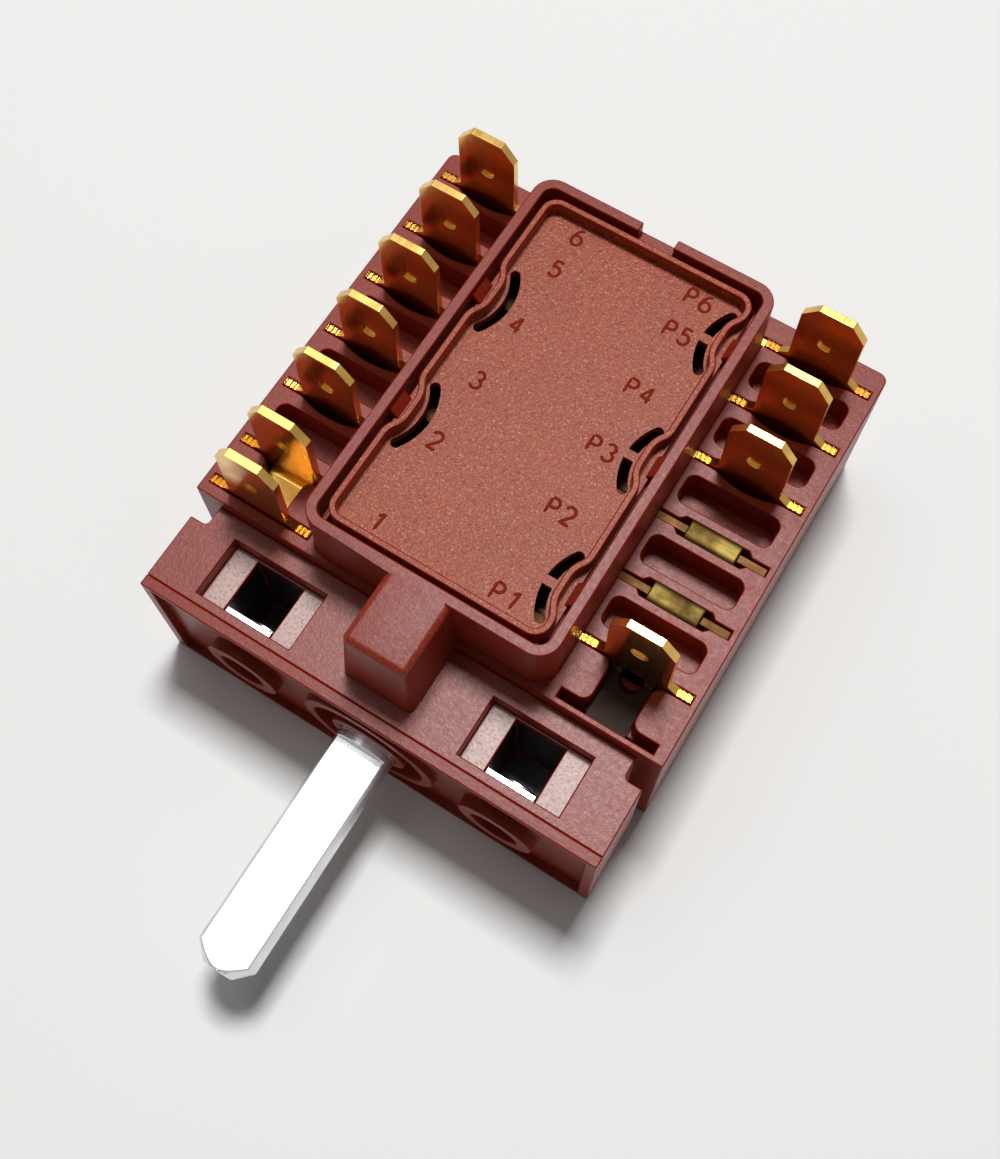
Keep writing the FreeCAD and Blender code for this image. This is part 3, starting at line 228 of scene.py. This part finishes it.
def object_place(tree):
    """Object coordinates, which are the frame's own here."""
    return add_node(tree, "ShaderNodeTexCoord").outputs["Object"]


def new_group(name, inputs, outputs):
    """A node group with named sockets: inputs as (name, type, default), outputs as (name, type)."""
    group = bpy.data.node_groups.new(name, "ShaderNodeTree")
    for title, kind, value in inputs:
        socket = group.interface.new_socket(title, in_out="INPUT", socket_type=kind)
        socket.default_value = value
    for title, kind in outputs:
        group.interface.new_socket(title, in_out="OUTPUT", socket_type=kind)
    return group, group.nodes.new("NodeGroupInput"), group.nodes.new("NodeGroupOutput")


def moulding_group():
    """Moulded thermoset: soft colour drift, pale worms and dark spots of filler, a fine grain."""
    group, source, result = new_group(
        "Moulded grain",
        [("Colour", "NodeSocketColor", (0.3, 0.1, 0.1, 1)),
         ("Fleck", "NodeSocketColor", (0.6, 0.4, 0.35, 1)),
         ("Fleck Amount", "NodeSocketFloat", 0.4),
         ("Spot", "NodeSocketColor", (0.1, 0.01, 0.005, 1)),
         ("Spot Amount", "NodeSocketFloat", 0.3),
         ("Grain Size", "NodeSocketFloat", 0.0002),
         ("Grain Depth", "NodeSocketFloat", 0.3),
         ("Roughness", "NodeSocketFloat", 0.5)],
        [("Colour", "NodeSocketColor"), ("Roughness", "NodeSocketFloat"),
         ("Normal", "NodeSocketVector")])
    given = source.outputs
    place = object_place(group)
    scale = maths(group, "DIVIDE", 1.0, given["Grain Size"])
    wide_scale = maths(group, "MULTIPLY", scale, 0.45)
    drift = add_node(group, "ShaderNodeTexNoise", Vector=place, Scale=160.0, Detail=3.0).outputs[0]
    fine = add_node(group, "ShaderNodeTexNoise", Vector=place, Scale=scale, Detail=2.0,
                    Roughness=0.55, Distortion=0.8).outputs[0]
    coarse = add_node(group, "ShaderNodeTexNoise", Vector=place, Scale=wide_scale,
                      Detail=2.0).outputs[0]
    shaded = add_node(group, "ShaderNodeVectorMath", {"operation": "SCALE"}, i0=given["Colour"],
                      Scale=remap(group, drift, 0.0, 1.0, 0.86, 1.14)).outputs[0]
    pale = maths(group, "MULTIPLY", remap(group, fine, 0.54, 0.68), given["Fleck Amount"])
    flecked = blend(group, pale, shaded, given["Fleck"])
    dark = maths(group, "MULTIPLY", remap(group, coarse, 0.47, 0.34), given["Spot Amount"])
    spotted = blend(group, dark, flecked, given["Spot"])
    uneven = remap(group, coarse, 0.0, 1.0, -0.10, 0.10)
    roughness = maths(group, "ADD", given["Roughness"], uneven, clamp=True)
    height = maths(group, "MULTIPLY_ADD", coarse, 0.7, fine)
    bump = add_node(group, "ShaderNodeBump", Strength=given["Grain Depth"], Distance=0.04 * MM,
                    Height=height)
    group.links.new(spotted, result.inputs["Colour"])
    group.links.new(roughness, result.inputs["Roughness"])
    group.links.new(bump.outputs[0], result.inputs["Normal"])
    return group


def metal_group():
    """Rolled or drawn metal: long fine scratches along one direction, cloudy tarnish, dull spots."""
    group, source, result = new_group(
        "Rolled metal",
        [("Colour", "NodeSocketColor", (0.8, 0.6, 0.2, 1)),
         ("Tarnish", "NodeSocketColor", (0.4, 0.2, 0.05, 1)),
         ("Tarnish Amount", "NodeSocketFloat", 0.4),
         ("Roughness", "NodeSocketFloat", 0.25),
         ("Scratch Depth", "NodeSocketFloat", 0.1),
         ("Stretch", "NodeSocketVector", (1.0, 1.0, 0.05))],
        [("Colour", "NodeSocketColor"), ("Roughness", "NodeSocketFloat"),
         ("Normal", "NodeSocketVector")])
    given = source.outputs
    place = object_place(group)
    drawn = add_node(group, "ShaderNodeVectorMath", {"operation": "MULTIPLY"}, i0=place,
                     i1=given["Stretch"]).outputs[0]
    lines = add_node(group, "ShaderNodeTexNoise", Vector=drawn, Scale=6000.0, Detail=3.0).outputs[0]
    clouds = add_node(group, "ShaderNodeTexNoise", Vector=place, Scale=420.0, Detail=4.0).outputs[0]
    patches = remap(group, clouds, 0.40, 0.68)
    amount = maths(group, "MULTIPLY", patches, given["Tarnish Amount"])
    tarnished = blend(group, amount, given["Colour"], given["Tarnish"])
    scratched = maths(group, "MULTIPLY_ADD", lines, 0.16, given["Roughness"])
    roughness = maths(group, "MULTIPLY_ADD", patches, 0.07, scratched, clamp=True)
    bump = add_node(group, "ShaderNodeBump", Strength=given["Scratch Depth"], Distance=0.02 * MM,
                    Height=lines)
    group.links.new(tarnished, result.inputs["Colour"])
    group.links.new(roughness, result.inputs["Roughness"])
    group.links.new(bump.outputs[0], result.inputs["Normal"])
    return group


def frost_group():
    """Mask of the faces that look up within a band of heights, broken up by a fine speckle; it places
    a painted sheen.
    """
    group, source, result = new_group(
        "Painted sheen level",
        [("Level", "NodeSocketFloat", 0.0), ("Half Band", "NodeSocketFloat", 0.0001)],
        [("Mask", "NodeSocketFloat")])
    place = object_place(group)
    height = add_node(group, "ShaderNodeSeparateXYZ", i0=place).outputs["Z"]
    near = maths(group, "COMPARE", height, source.outputs["Level"], source.outputs["Half Band"])
    facing = add_node(group, "ShaderNodeNewGeometry").outputs["True Normal"]
    upward = add_node(group, "ShaderNodeSeparateXYZ", i0=facing).outputs["Z"]
    level = maths(group, "MULTIPLY", near, maths(group, "GREATER_THAN", upward, 0.9))
    speckle = add_node(group, "ShaderNodeTexNoise", Vector=place, Scale=3600.0, Detail=3.0)
    mask = maths(group, "MULTIPLY", level, remap(group, speckle.outputs[0], 0.18, 0.52))
    group.links.new(mask, result.inputs["Mask"])
    return group


def finished(name, group, **values):
    """A material whose colour, roughness and normal come from one placed group."""
    material = bpy.data.materials.new(name)
    material.use_nodes = True
    tree = material.node_tree
    shader = tree.nodes["Principled BSDF"]
    placed = add_node(tree, "ShaderNodeGroup", {"node_tree": group})
    for key, value in values.items():
        placed.inputs[key.replace("_", " ")].default_value = value
    tree.links.new(placed.outputs["Colour"], shader.inputs["Base Color"])
    tree.links.new(placed.outputs["Roughness"], shader.inputs["Roughness"])
    tree.links.new(placed.outputs["Normal"], shader.inputs["Normal"])
    return material, shader


def thermoset(name, grain, colour, flecks, spots, depth, gloss=0.26):
    """A moulding compound: its colour, how much pale and dark filler shows, how deep the grain is."""
    material, shader = finished(
        name, grain, Colour=colour, Fleck=(0.66, 0.36, 0.22, 1), Fleck_Amount=flecks,
        Spot=(0.20, 0.012, 0.004, 1), Spot_Amount=spots, Grain_Size=sizes().grain_size,
        Grain_Depth=depth, Roughness=0.38)
    shader.inputs["Specular IOR Level"].default_value = gloss
    shader.inputs["Subsurface Weight"].default_value = 0.10
    shader.inputs["Subsurface Radius"].default_value = (1.0, 0.18, 0.06)
    shader.inputs["Subsurface Scale"].default_value = 0.8 * MM
    return material


def metal(name, group, colour, tarnish, amount, roughness, scratches=0.05, stretch=(1.0, 1.0, 1.0)):
    """A metal: its colour, its tarnish and how much of it shows, its polish and its scratches."""
    material, shader = finished(
        name, group, Colour=colour, Tarnish=tarnish, Tarnish_Amount=amount, Roughness=roughness,
        Scratch_Depth=scratches, Stretch=stretch)
    shader.inputs["Metallic"].default_value = 1.0
    return material


def overlay(material, mask, colour):
    """Lays a colour over a material's own where the mask is 1."""
    tree = material.node_tree
    shader = tree.nodes["Principled BSDF"]
    plain = shader.inputs["Base Color"].links[0].from_socket
    tree.links.new(blend(tree, mask, plain, colour), shader.inputs["Base Color"])


def darken_inside(material):
    """Painted shade: the stampings are painted dark where they are inside the cam box, where shade
    falls.
    """
    tree = material.node_tree
    across = add_node(tree, "ShaderNodeSeparateXYZ", i0=object_place(tree)).outputs["X"]
    box_shade_mask = maths(tree, "LESS_THAN", maths(tree, "ABSOLUTE", across), BOX_HALF_WIDTH)
    overlay(material, box_shade_mask, (0.03, 0.014, 0.007, 1))


def frost_ledges(material):
    """Painted sheen: a pale colour on the up-facing ledges of the two windows that stands in for
    light.
    """
    ledge_sheen = add_node(material.node_tree, "ShaderNodeGroup", {"node_tree": frost_group()})
    ledge_sheen.inputs["Level"].default_value = float(high("front_housing")[2]) - LEDGE_BELOW_TOP
    ledge_sheen.inputs["Half Band"].default_value = LEDGE_HALF_BAND
    overlay(material, ledge_sheen.outputs["Mask"], (0.50, 0.35, 0.32, 1))


def darken_wells(material):
    """Painted shade: the wells under the two windows are painted dark between their ledges, where
    shade falls.
    """
    tree = material.node_tree
    place = add_node(tree, "ShaderNodeSeparateXYZ", i0=object_place(tree))
    sideways = maths(tree, "ABSOLUTE", place.outputs["X"])
    well_shade = maths(tree, "COMPARE", sideways, *WELL_X)
    well_shade = maths(tree, "MULTIPLY", well_shade, maths(tree, "COMPARE", place.outputs["Y"], *WELL_Y))
    well_shade = maths(tree, "MULTIPLY", well_shade, maths(tree, "COMPARE", place.outputs["Z"], *WELL_Z))
    overlay(material, well_shade, (0.016, 0.009, 0.010, 1))


MATERIALS = {}


def make_materials():
    """Every finish of the switch, each from its group with its own values."""
    grain = moulding_group()
    rolled = metal_group()
    colour = tuple(colours().moulding)
    front = thermoset("front_thermoset", grain, colour, 0.16, 0.35, 0.5, 0.36)
    # painted pale sheen on the window ledges
    frost_ledges(front)
    # painted shade in the wells under the windows
    darken_wells(front)
    inner = finished(
        "inner_moulding", grain, Colour=(0.012, 0.012, 0.013, 1), Fleck=(0.03, 0.03, 0.03, 1),
        Fleck_Amount=0.2, Grain_Size=sizes().grain_size, Grain_Depth=0.2, Roughness=0.5)[0]
    # painted dark reflection for the top of the strip of terminal P1
    dark_reflection, shader = finished(
        "strip_painted_reflection", rolled, Colour=(0.040, 0.022, 0.017, 1),
        Tarnish=(0.022, 0.013, 0.010, 1), Tarnish_Amount=0.6, Roughness=0.5, Scratch_Depth=0.05,
        Stretch=(1.0, 0.1, 1.0))
    shader.inputs["Specular IOR Level"].default_value = 0.1
    MATERIALS.update({
        "moulding": thermoset("brown_thermoset", grain, colour, 0.10, 0.35, 0.5),
        "panel": thermoset("panel_thermoset", grain, (0.30, 0.046, 0.011, 1), 0.42, 0.70, 1.3, 0.24),
        "edge": thermoset("thermoset_edge", grain, (0.22, 0.013, 0.003, 1), 0.0, 0.10, 0.2, 0.1),
        "front": front,
        "digit": thermoset("digit_thermoset", grain, (0.20, 0.014, 0.004, 1), 0.0, 0.2, 0.2, 0.02),
        "brass": metal("stamped_brass", rolled, tuple(colours().brass), (0.42, 0.19, 0.05, 1),
                       0.35, 0.11, 0.12, (1.0, 0.06, 0.08)),
        "steel": metal("zinc_plate", rolled, tuple(colours().steel), (0.55, 0.56, 0.55, 1),
                       0.3, 0.16, 0.10, (1.0, 0.05, 1.0)),
        "spring": metal("spring_wire", rolled, (0.55, 0.55, 0.55, 1), (0.3, 0.29, 0.28, 1),
                        0.3, 0.25),
        "inner": inner,
        # painted shade: the bronze is darkened nearly black to stand in for the shade inside the
        # housing
        "bronze": metal("bronze_in_painted_shade", rolled, (0.05, 0.022, 0.009, 1), (0.02, 0.009, 0.005, 1),
                        0.6, 0.42),
        "dark_reflection": dark_reflection,
        "satin": metal("satin_brass", rolled, (0.100, 0.072, 0.019, 1), (0.032, 0.016, 0.005, 1),
                       0.9, 0.36, 0.2, (0.15, 1.0, 1.0)),
        "pin": metal("dull_brass", rolled, (0.12, 0.060, 0.022, 1), (0.045, 0.020, 0.008, 1),
                     0.7, 0.45, 0.1, (0.2, 1.0, 1.0)),
    })
    # painted shade on the brass and pins inside the cam box
    darken_inside(MATERIALS["brass"])
    darken_inside(MATERIALS["pin"])


def assign(piece, material, body, edge=None):
    """Gives a piece its finish and its body; an edge finish goes on the bevel."""
    piece.data.materials.clear()
    piece.data.materials.append(MATERIALS[material])
    if edge:
        piece.data.materials.append(MATERIALS[edge])
        piece.modifiers["edge"].material = 1
    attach(piece, body)


def body_of_node(node):
    """The body that a node belongs to."""
    for body, members in frame["record"]["behaviour"]["bodies"].items():
        if node in members:
            return body
    raise RuntimeError("no body holds " + node)


def linked(name, mesh):
    """A new object with this mesh, in the scene."""
    piece = bpy.data.objects.new(name, mesh)
    bpy.context.scene.collection.objects.link(piece)
    return piece


def softened(node, name, width, clamp=False, lip=None):
    """Copy of a node with merged corners, flat faces in one piece and a rounded edge. With lip
    given, only the edges above that height are rounded."""
    mesh = frame["nodes"][node].data.copy()
    mesh.name = name
    work = bmesh.new()
    work.from_mesh(mesh)
    bmesh.ops.remove_doubles(work, verts=work.verts, dist=MERGE_DISTANCE)
    bmesh.ops.dissolve_limit(work, angle_limit=FLAT_ANGLE, verts=work.verts, edges=work.edges)
    for edge in work.edges:
        edge.smooth = edge.is_manifold and edge.calc_face_angle(0.0) < SHARP_ANGLE
    if lip is not None:
        weight = work.edges.layers.float.new("bevel_weight_edge")
        for edge in work.edges:
            raised = min(v.co.z for v in edge.verts) > lip
            edge[weight] = 1.0 if raised and not edge.smooth else 0.0
    for face in work.faces:
        face.smooth = True
    work.to_mesh(mesh)
    work.free()
    piece = linked(name, mesh)
    bevel = piece.modifiers.new("edge", "BEVEL")
    bevel.width = width
    bevel.segments = EDGE_SEGMENTS
    bevel.limit_method = "ANGLE" if lip is None else "WEIGHT"
    bevel.angle_limit = SHARP_ANGLE
    bevel.use_clamp_overlap = clamp
    bevel.harden_normals = True
    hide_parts(node)
    return piece


def trimmed(piece, node):
    """Applies the rounding, and brings corners that it pushed out of the node's box back to it."""
    graph = bpy.context.evaluated_depsgraph_get()
    mesh = bpy.data.meshes.new_from_object(piece.evaluated_get(graph))
    corners = np.empty(len(mesh.vertices) * 3, dtype=np.float32)
    mesh.vertices.foreach_get("co", corners)
    kept = np.clip(corners.reshape(-1, 3), low(node), high(node)).astype(np.float32)
    mesh.vertices.foreach_set("co", kept.ravel())
    piece.modifiers.clear()
    piece.data = mesh
    mesh.update()


def surface(name, points):
    """Mesh from a grid of points, rows along u and columns along v."""
    rows, columns = points.shape[:2]
    first = np.arange(rows - 1)[:, None] * columns + np.arange(columns - 1)[None, :]
    quads = np.stack([first, first + columns, first + columns + 1, first + 1], axis=-1)
    mesh = bpy.data.meshes.new(name)
    mesh.from_pydata(points.reshape(-1, 3).tolist(), [], quads.reshape(-1, 4).tolist())
    mesh.update()
    return linked(name, mesh)


def joined_surfaces(name, grids, lift):
    """One mesh from several closed tubes of points, raised by lift, with capped ends."""
    vertices, faces, first = [], [], 0
    for grid in grids:
        rows, columns = grid.shape[:2]
        u = np.arange(rows - 1)[:, None] * columns
        v = np.arange(columns)[None, :]
        v_next = (v + 1) % columns
        quads = np.stack([u + v, u + v_next, u + columns + v_next, u + columns + v], axis=-1)
        faces += (quads.reshape(-1, 4) + first).tolist()
        faces.append((np.arange(columns)[::-1] + first).tolist())
        faces.append((np.arange(columns) + first + (rows - 1) * columns).tolist())
        vertices.append(grid.reshape(-1, 3) + np.array([0.0, 0.0, lift]))
        first += rows * columns
    mesh = bpy.data.meshes.new(name)
    mesh.from_pydata(np.vstack(vertices).tolist(), [], faces)
    mesh.update()
    work = bmesh.new()
    work.from_mesh(mesh)
    bmesh.ops.recalc_face_normals(work, faces=work.faces)
    for face in work.faces:
        face.smooth = True
    work.to_mesh(mesh)
    work.free()
    return linked(name, mesh)


class SWITCH_OT_mouldings(bpy.types.Operator):
    """Housing, front block, front plate and lid, with rounded moulded edges"""

    bl_idname = "switch.mouldings"
    bl_label = "Mouldings"

    def execute(self, context):
        finishes = {"lid": "panel", "front_housing": "front"}
        for node in MOULDINGS:
            lip = float(high(node)[2]) - LIP_BAND if node == "lid" else None
            piece = softened(node, "moulded_" + node, sizes().moulding_edge, lip=lip)
            assign(piece, finishes.get(node, "moulding"), body_of_node(node), "edge")
            if node == "contact_housing":
                trimmed(piece, node)
        return {"FINISHED"}


def line(x0, y0, x1, y1, steps=8):
    """Points along a straight stroke: start times 1 - t plus end times t."""
    t = np.linspace(0.0, 1.0, steps)[:, None]
    return np.array([[x0, y0]]) * (1 - t) + np.array([[x1, y1]]) * t


def bow(x, y, rx, ry, start, end, steps=22):
    """Points along an elliptical stroke: middle plus rx cosine a and ry sine a, a in degrees."""
    a = np.radians(np.linspace(start, end, steps))
    return np.column_stack([x + rx * np.cos(a), y + ry * np.sin(a)])


def glyph(letter):
    """Strokes of a character in a box 0.6 wide and 1 high."""
    strokes = {
        "1": [np.vstack([line(0.12, 0.78, 0.42, 1.0), line(0.42, 1.0, 0.30, 0.0)[1:]])],
        "2": [np.vstack([bow(0.3, 0.72, 0.27, 0.28, 170, -40), line(0.50, 0.53, 0.04, 0.0)[1:],
                         line(0.04, 0.0, 0.58, 0.0)[1:]])],
        "3": [bow(0.28, 0.75, 0.24, 0.25, 160, -90), bow(0.28, 0.26, 0.29, 0.26, 90, -160)],
        "4": [np.vstack([line(0.42, 0.0, 0.42, 1.0), line(0.42, 1.0, 0.02, 0.30)[1:],
                         line(0.02, 0.30, 0.60, 0.30)[1:]])],
        "5": [np.vstack([line(0.54, 1.0, 0.12, 1.0), line(0.12, 1.0, 0.08, 0.56)[1:],
                         bow(0.29, 0.32, 0.28, 0.32, 125, -160)[1:]])],
        "6": [np.vstack([bow(0.48, 0.30, 0.46, 0.70, 90, 180),
                         bow(0.30, 0.30, 0.28, 0.30, 180, 540)])],
        "P": [line(0.06, 0.0, 0.06, 1.0),
              np.vstack([line(0.06, 1.0, 0.30, 1.0), bow(0.30, 0.74, 0.26, 0.26, 90, -90)[1:],
                         line(0.30, 0.48, 0.06, 0.48)[1:]])],
    }
    return strokes[letter]


def ridge(path, half_width, height):
    """Closed ridge along a flat path: an ellipse of that half width and height is carried along
    the path, square to it, and shrinks to a point at both ends as the root of 1 - t squared."""
    step = np.linalg.norm(np.diff(path, axis=0), axis=1)
    along = np.concatenate([[0.0], np.cumsum(step)])
    tangent = np.gradient(path, axis=0)
    tangent /= np.linalg.norm(tangent, axis=1)[:, None]
    across = np.column_stack([-tangent[:, 1], tangent[:, 0]])
    left = np.clip(np.minimum(along, along[-1] - along) / half_width, 0.0, 1.0)
    size = np.sqrt(np.clip(1.0 - (1.0 - left) ** 2, 0.002, 1.0))
    angle = np.linspace(0.0, 2 * np.pi, 12, endpoint=False)
    flat = path[:, None, :] + (across[:, None, :] * half_width * size[:, None, None]
                               * np.cos(angle)[None, :, None])
    lift = height * size[:, None] * np.sin(angle)[None, :]
    return np.concatenate([flat, lift[:, :, None]], axis=2)


def number_ridges(label, x, y):
    """Ridges of a label whose middle is at x and y."""
    tall = sizes().digit_height
    half = sizes().digit_stroke / 2
    ridges = []
    for place, letter in enumerate(label):
        start = x + (place - (len(label) - 1) / 2) * NUMBER_PITCH - 0.3 * tall
        for stroke in glyph(letter):
            path = stroke * tall + np.array([start, y - tall / 2])
            ridges.append(ridge(path, half, STROKE_RISE * half))
    return ridges


class SWITCH_OT_numbers(bpy.types.Operator):
    """Plain position numbers moulded into the lid as raised strokes"""

    bl_idname = "switch.numbers"
    bl_label = "Position numbers"

    def execute(self, context):
        panel = float(high("lid")[2]) - PANEL_BELOW_LIP
        for x, prefix in NUMBER_COLUMNS:
            for number, y in enumerate(NUMBER_ROWS, start=1):
                label = prefix + str(number)
                piece = joined_surfaces("number_" + label, number_ridges(label, x * MM, y * MM), panel)
                assign(piece, "digit", body_of_node("lid"))
        return {"FINISHED"}


def darken_strip(piece):
    """Painted reflection: the top of the strip that runs forward from terminal P1 is painted nearly
    black, standing in for the dark room that it mirrors.
    """
    piece.data.materials.append(MATERIALS["dark_reflection"])
    for face in piece.data.polygons:
        on_strip = abs(face.center.x - TAB_X) < STRIP_HALF_WIDTH and face.normal.z > 0.3
        if on_strip and abs(face.center.z - STRIP_TOP) < STRIP_HALF_BAND:
            face.material_index = 1


def rolled_top(node):
    """Rolled edge of a contact with no tab: a flattened tube along X, its section the curve
    (y / a) to the 4th plus (z / b) to the 4th equals 1, with its ends drawn in a little."""
    y = high(node)[1] - ROLL_RADIUS
    angle = np.linspace(0.0, 2 * np.pi, 40, endpoint=False)
    u = np.linspace(-1.0, 1.0, 64)[:, None]
    end = np.clip((1.0 - np.abs(u)) / ROLL_END_SHARE, 0.0, 1.0)
    draw = ROLL_END_SCALE + (1.0 - ROLL_END_SCALE) * np.sqrt(1 - (1 - end) ** 2)
    c, s = np.cos(angle)[None, :], np.sin(angle)[None, :]
    across = np.sign(c) * np.sqrt(np.abs(c)) * ROLL_HALF_WIDTH
    tall = np.sign(s) * np.sqrt(np.abs(s)) * ROLL_HALF_HEIGHT
    points = np.stack([TAB_X + u * ROLL_HALF_LENGTH + 0 * across, y + across * draw,
                       DECK_TOP - ROLL_BELOW_DECK + tall * draw], axis=2)
    return joined_surfaces("rolled_" + node, [points], 0.0)


class SWITCH_OT_terminals(bpy.types.Operator):
    """Brass terminals and the contacts with rolled tops"""

    bl_idname = "switch.terminals"
    bl_label = "Terminals"

    def execute(self, context):
        for node in TABBED:
            piece = softened(node, "brass_" + node, sizes().stamping_edge, clamp=node == "terminal_1")
            assign(piece, "brass", body_of_node(node))
            if node == "terminal_p1":
                # painted dark reflection on the strip of terminal P1
                darken_strip(piece)
        for node in ROLLED:
            piece = softened(node, "brass_" + node, sizes().stamping_edge)
            assign(piece, "pin", body_of_node(node))
            assign(rolled_top(node), "satin", body_of_node(node))
        return {"FINISHED"}


class SWITCH_OT_steel(bpy.types.Operator):
    """Control shaft and nut plates"""

    bl_idname = "switch.steel"
    bl_label = "Shaft and nut plates"

    def execute(self, context):
        for node in STEEL:
            piece = softened(node, "plated_" + node, sizes().steel_edge)
            assign(piece, "steel", body_of_node(node))
        return {"FINISHED"}


class SWITCH_OT_works(bpy.types.Operator):
    """Finishes of the works inside, which keep their own solids"""

    bl_idname = "switch.works"
    bl_label = "Works"

    def execute(self, context):
        finishes = {"cam_drum": "inner", "detent_wheel": "inner", "detent_ball": "steel",
                    "detent_spring": "spring", "shaft_clip": "spring", "housing_screws": "steel",
                    "fixed_contacts": "bronze", "moving_contacts": "bronze"}
        for number in range(1, STATIONS + 1):
            finishes["pusher_%d" % number] = "inner"
            finishes["contact_bridge_%d" % number] = "bronze"
            finishes["contact_spring_%d" % number] = "bronze"
        for node, finish in finishes.items():
            for slot in frame["nodes"][node].material_slots:
                slot.material = MATERIALS[finish]
        return {"FINISHED"}


class SWITCH_OT_stage(bpy.types.Operator):
    """Pale floor, soft overhead light and the camera"""

    bl_idname = "switch.stage"
    bl_label = "Stage"

    def execute(self, context):
        make_floor()
        for name, settings in LAMPS.items():
            area_light(name, *settings)
        make_world()
        make_camera()
        context.scene.view_settings.view_transform = "Standard"
        return {"FINISHED"}


def make_floor():
    """A large flat floor under the switch."""
    reach, level = FLOOR_REACH, CAD_BOX[0][2]
    corners = np.array([[(-reach, -reach, level), (-reach, reach, level)],
                        [(reach, -reach, level), (reach, reach, level)]])
    floor = surface("floor", corners)
    material = bpy.data.materials.new("pale_floor")
    material.use_nodes = True
    shader = material.node_tree.nodes["Principled BSDF"]
    shader.inputs["Base Color"].default_value = tuple(colours().floor)
    shader.inputs["Roughness"].default_value = 0.6
    shader.inputs["Specular IOR Level"].default_value = 0.25
    floor.data.materials.append(material)


def area_light(name, direction, distance, size, power):
    """A square area light that points at the middle of the switch."""
    back = np.array(direction) / np.linalg.norm(direction)
    data = bpy.data.lights.new(name, "AREA")
    data.shape = "SQUARE"
    data.size = size
    data.energy = power
    lamp = linked(name, data)
    lamp.location = tuple(AIM + back * distance)
    side = np.cross((0.0, 1.0, 0.0), back)
    side /= np.linalg.norm(side)
    up = np.cross(back, side)
    lamp.rotation_euler = Matrix(np.column_stack([side, up, back]).tolist()).to_euler()


def make_world():
    """A world that is pale to look at, and in metal, but lights the switch weakly."""
    world = bpy.data.worlds.new("studio")
    bpy.context.scene.world = world
    world.use_nodes = True
    tree = world.node_tree
    background = tree.nodes["Background"]
    background.inputs["Color"].default_value = (1.0, 1.0, 1.0, 1)
    path = add_node(tree, "ShaderNodeLightPath").outputs
    seen = maths(tree, "MAXIMUM", path["Is Camera Ray"], path["Is Transmission Ray"])
    mirrored = maths(tree, "MULTIPLY_ADD", path["Is Glossy Ray"], MIRRORED_STRENGTH,
                     LIGHTING_STRENGTH)
    strength = maths(tree, "MULTIPLY_ADD", seen, BACKDROP_STRENGTH, mirrored)
    tree.links.new(strength, background.inputs["Strength"])


def make_camera():
    """The photograph's view, with the principal point above the middle of the frame."""
    data = bpy.data.cameras.new("photo_camera")
    data.sensor_width = 36.0
    data.lens = CAMERA_LENS
    data.shift_y = CAMERA_SHIFT_Y
    data.clip_start = 0.01
    camera = linked("photo_camera", data)
    camera.location = CAMERA_PLACE
    camera.rotation_euler = CAMERA_TURN
    bpy.context.scene.camera = camera


OPERATORS = (SWITCH_OT_stage, SWITCH_OT_mouldings, SWITCH_OT_numbers, SWITCH_OT_terminals,
             SWITCH_OT_steel, SWITCH_OT_works)


class SWITCH_PT_panel(bpy.types.Panel):
    """Sidebar panel with the sizes, the colours and one button for each group of pieces"""

    bl_label = "Switch"
    bl_space_type = "VIEW_3D"
    bl_region_type = "UI"
    bl_category = "Switch"

    def draw(self, context):
        for settings in (context.scene.switch_sizes, context.scene.switch_colours):
            for key in settings.bl_rna.properties.keys():
                if key not in ("rna_type", "name"):
                    self.layout.prop(settings, key)
        for operator in OPERATORS:
            self.layout.operator(operator.bl_idname)


CLASSES = (SwitchSizes, SwitchColours) + OPERATORS + (SWITCH_PT_panel,)


def register():
    for cls in CLASSES:
        bpy.utils.register_class(cls)
    bpy.types.Scene.switch_sizes = bpy.props.PointerProperty(type=SwitchSizes)
    bpy.types.Scene.switch_colours = bpy.props.PointerProperty(type=SwitchColours)


def unregister():
    del bpy.types.Scene.switch_colours
    del bpy.types.Scene.switch_sizes
    for cls in reversed(CLASSES):
        bpy.utils.unregister_class(cls)


def main():
    """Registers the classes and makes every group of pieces."""
    register()
    make_materials()
    bpy.ops.switch.stage()
    bpy.ops.switch.mouldings()
    bpy.ops.switch.numbers()
    bpy.ops.switch.terminals()
    bpy.ops.switch.steel()
    bpy.ops.switch.works()


if __name__ == "__main__":
    main()
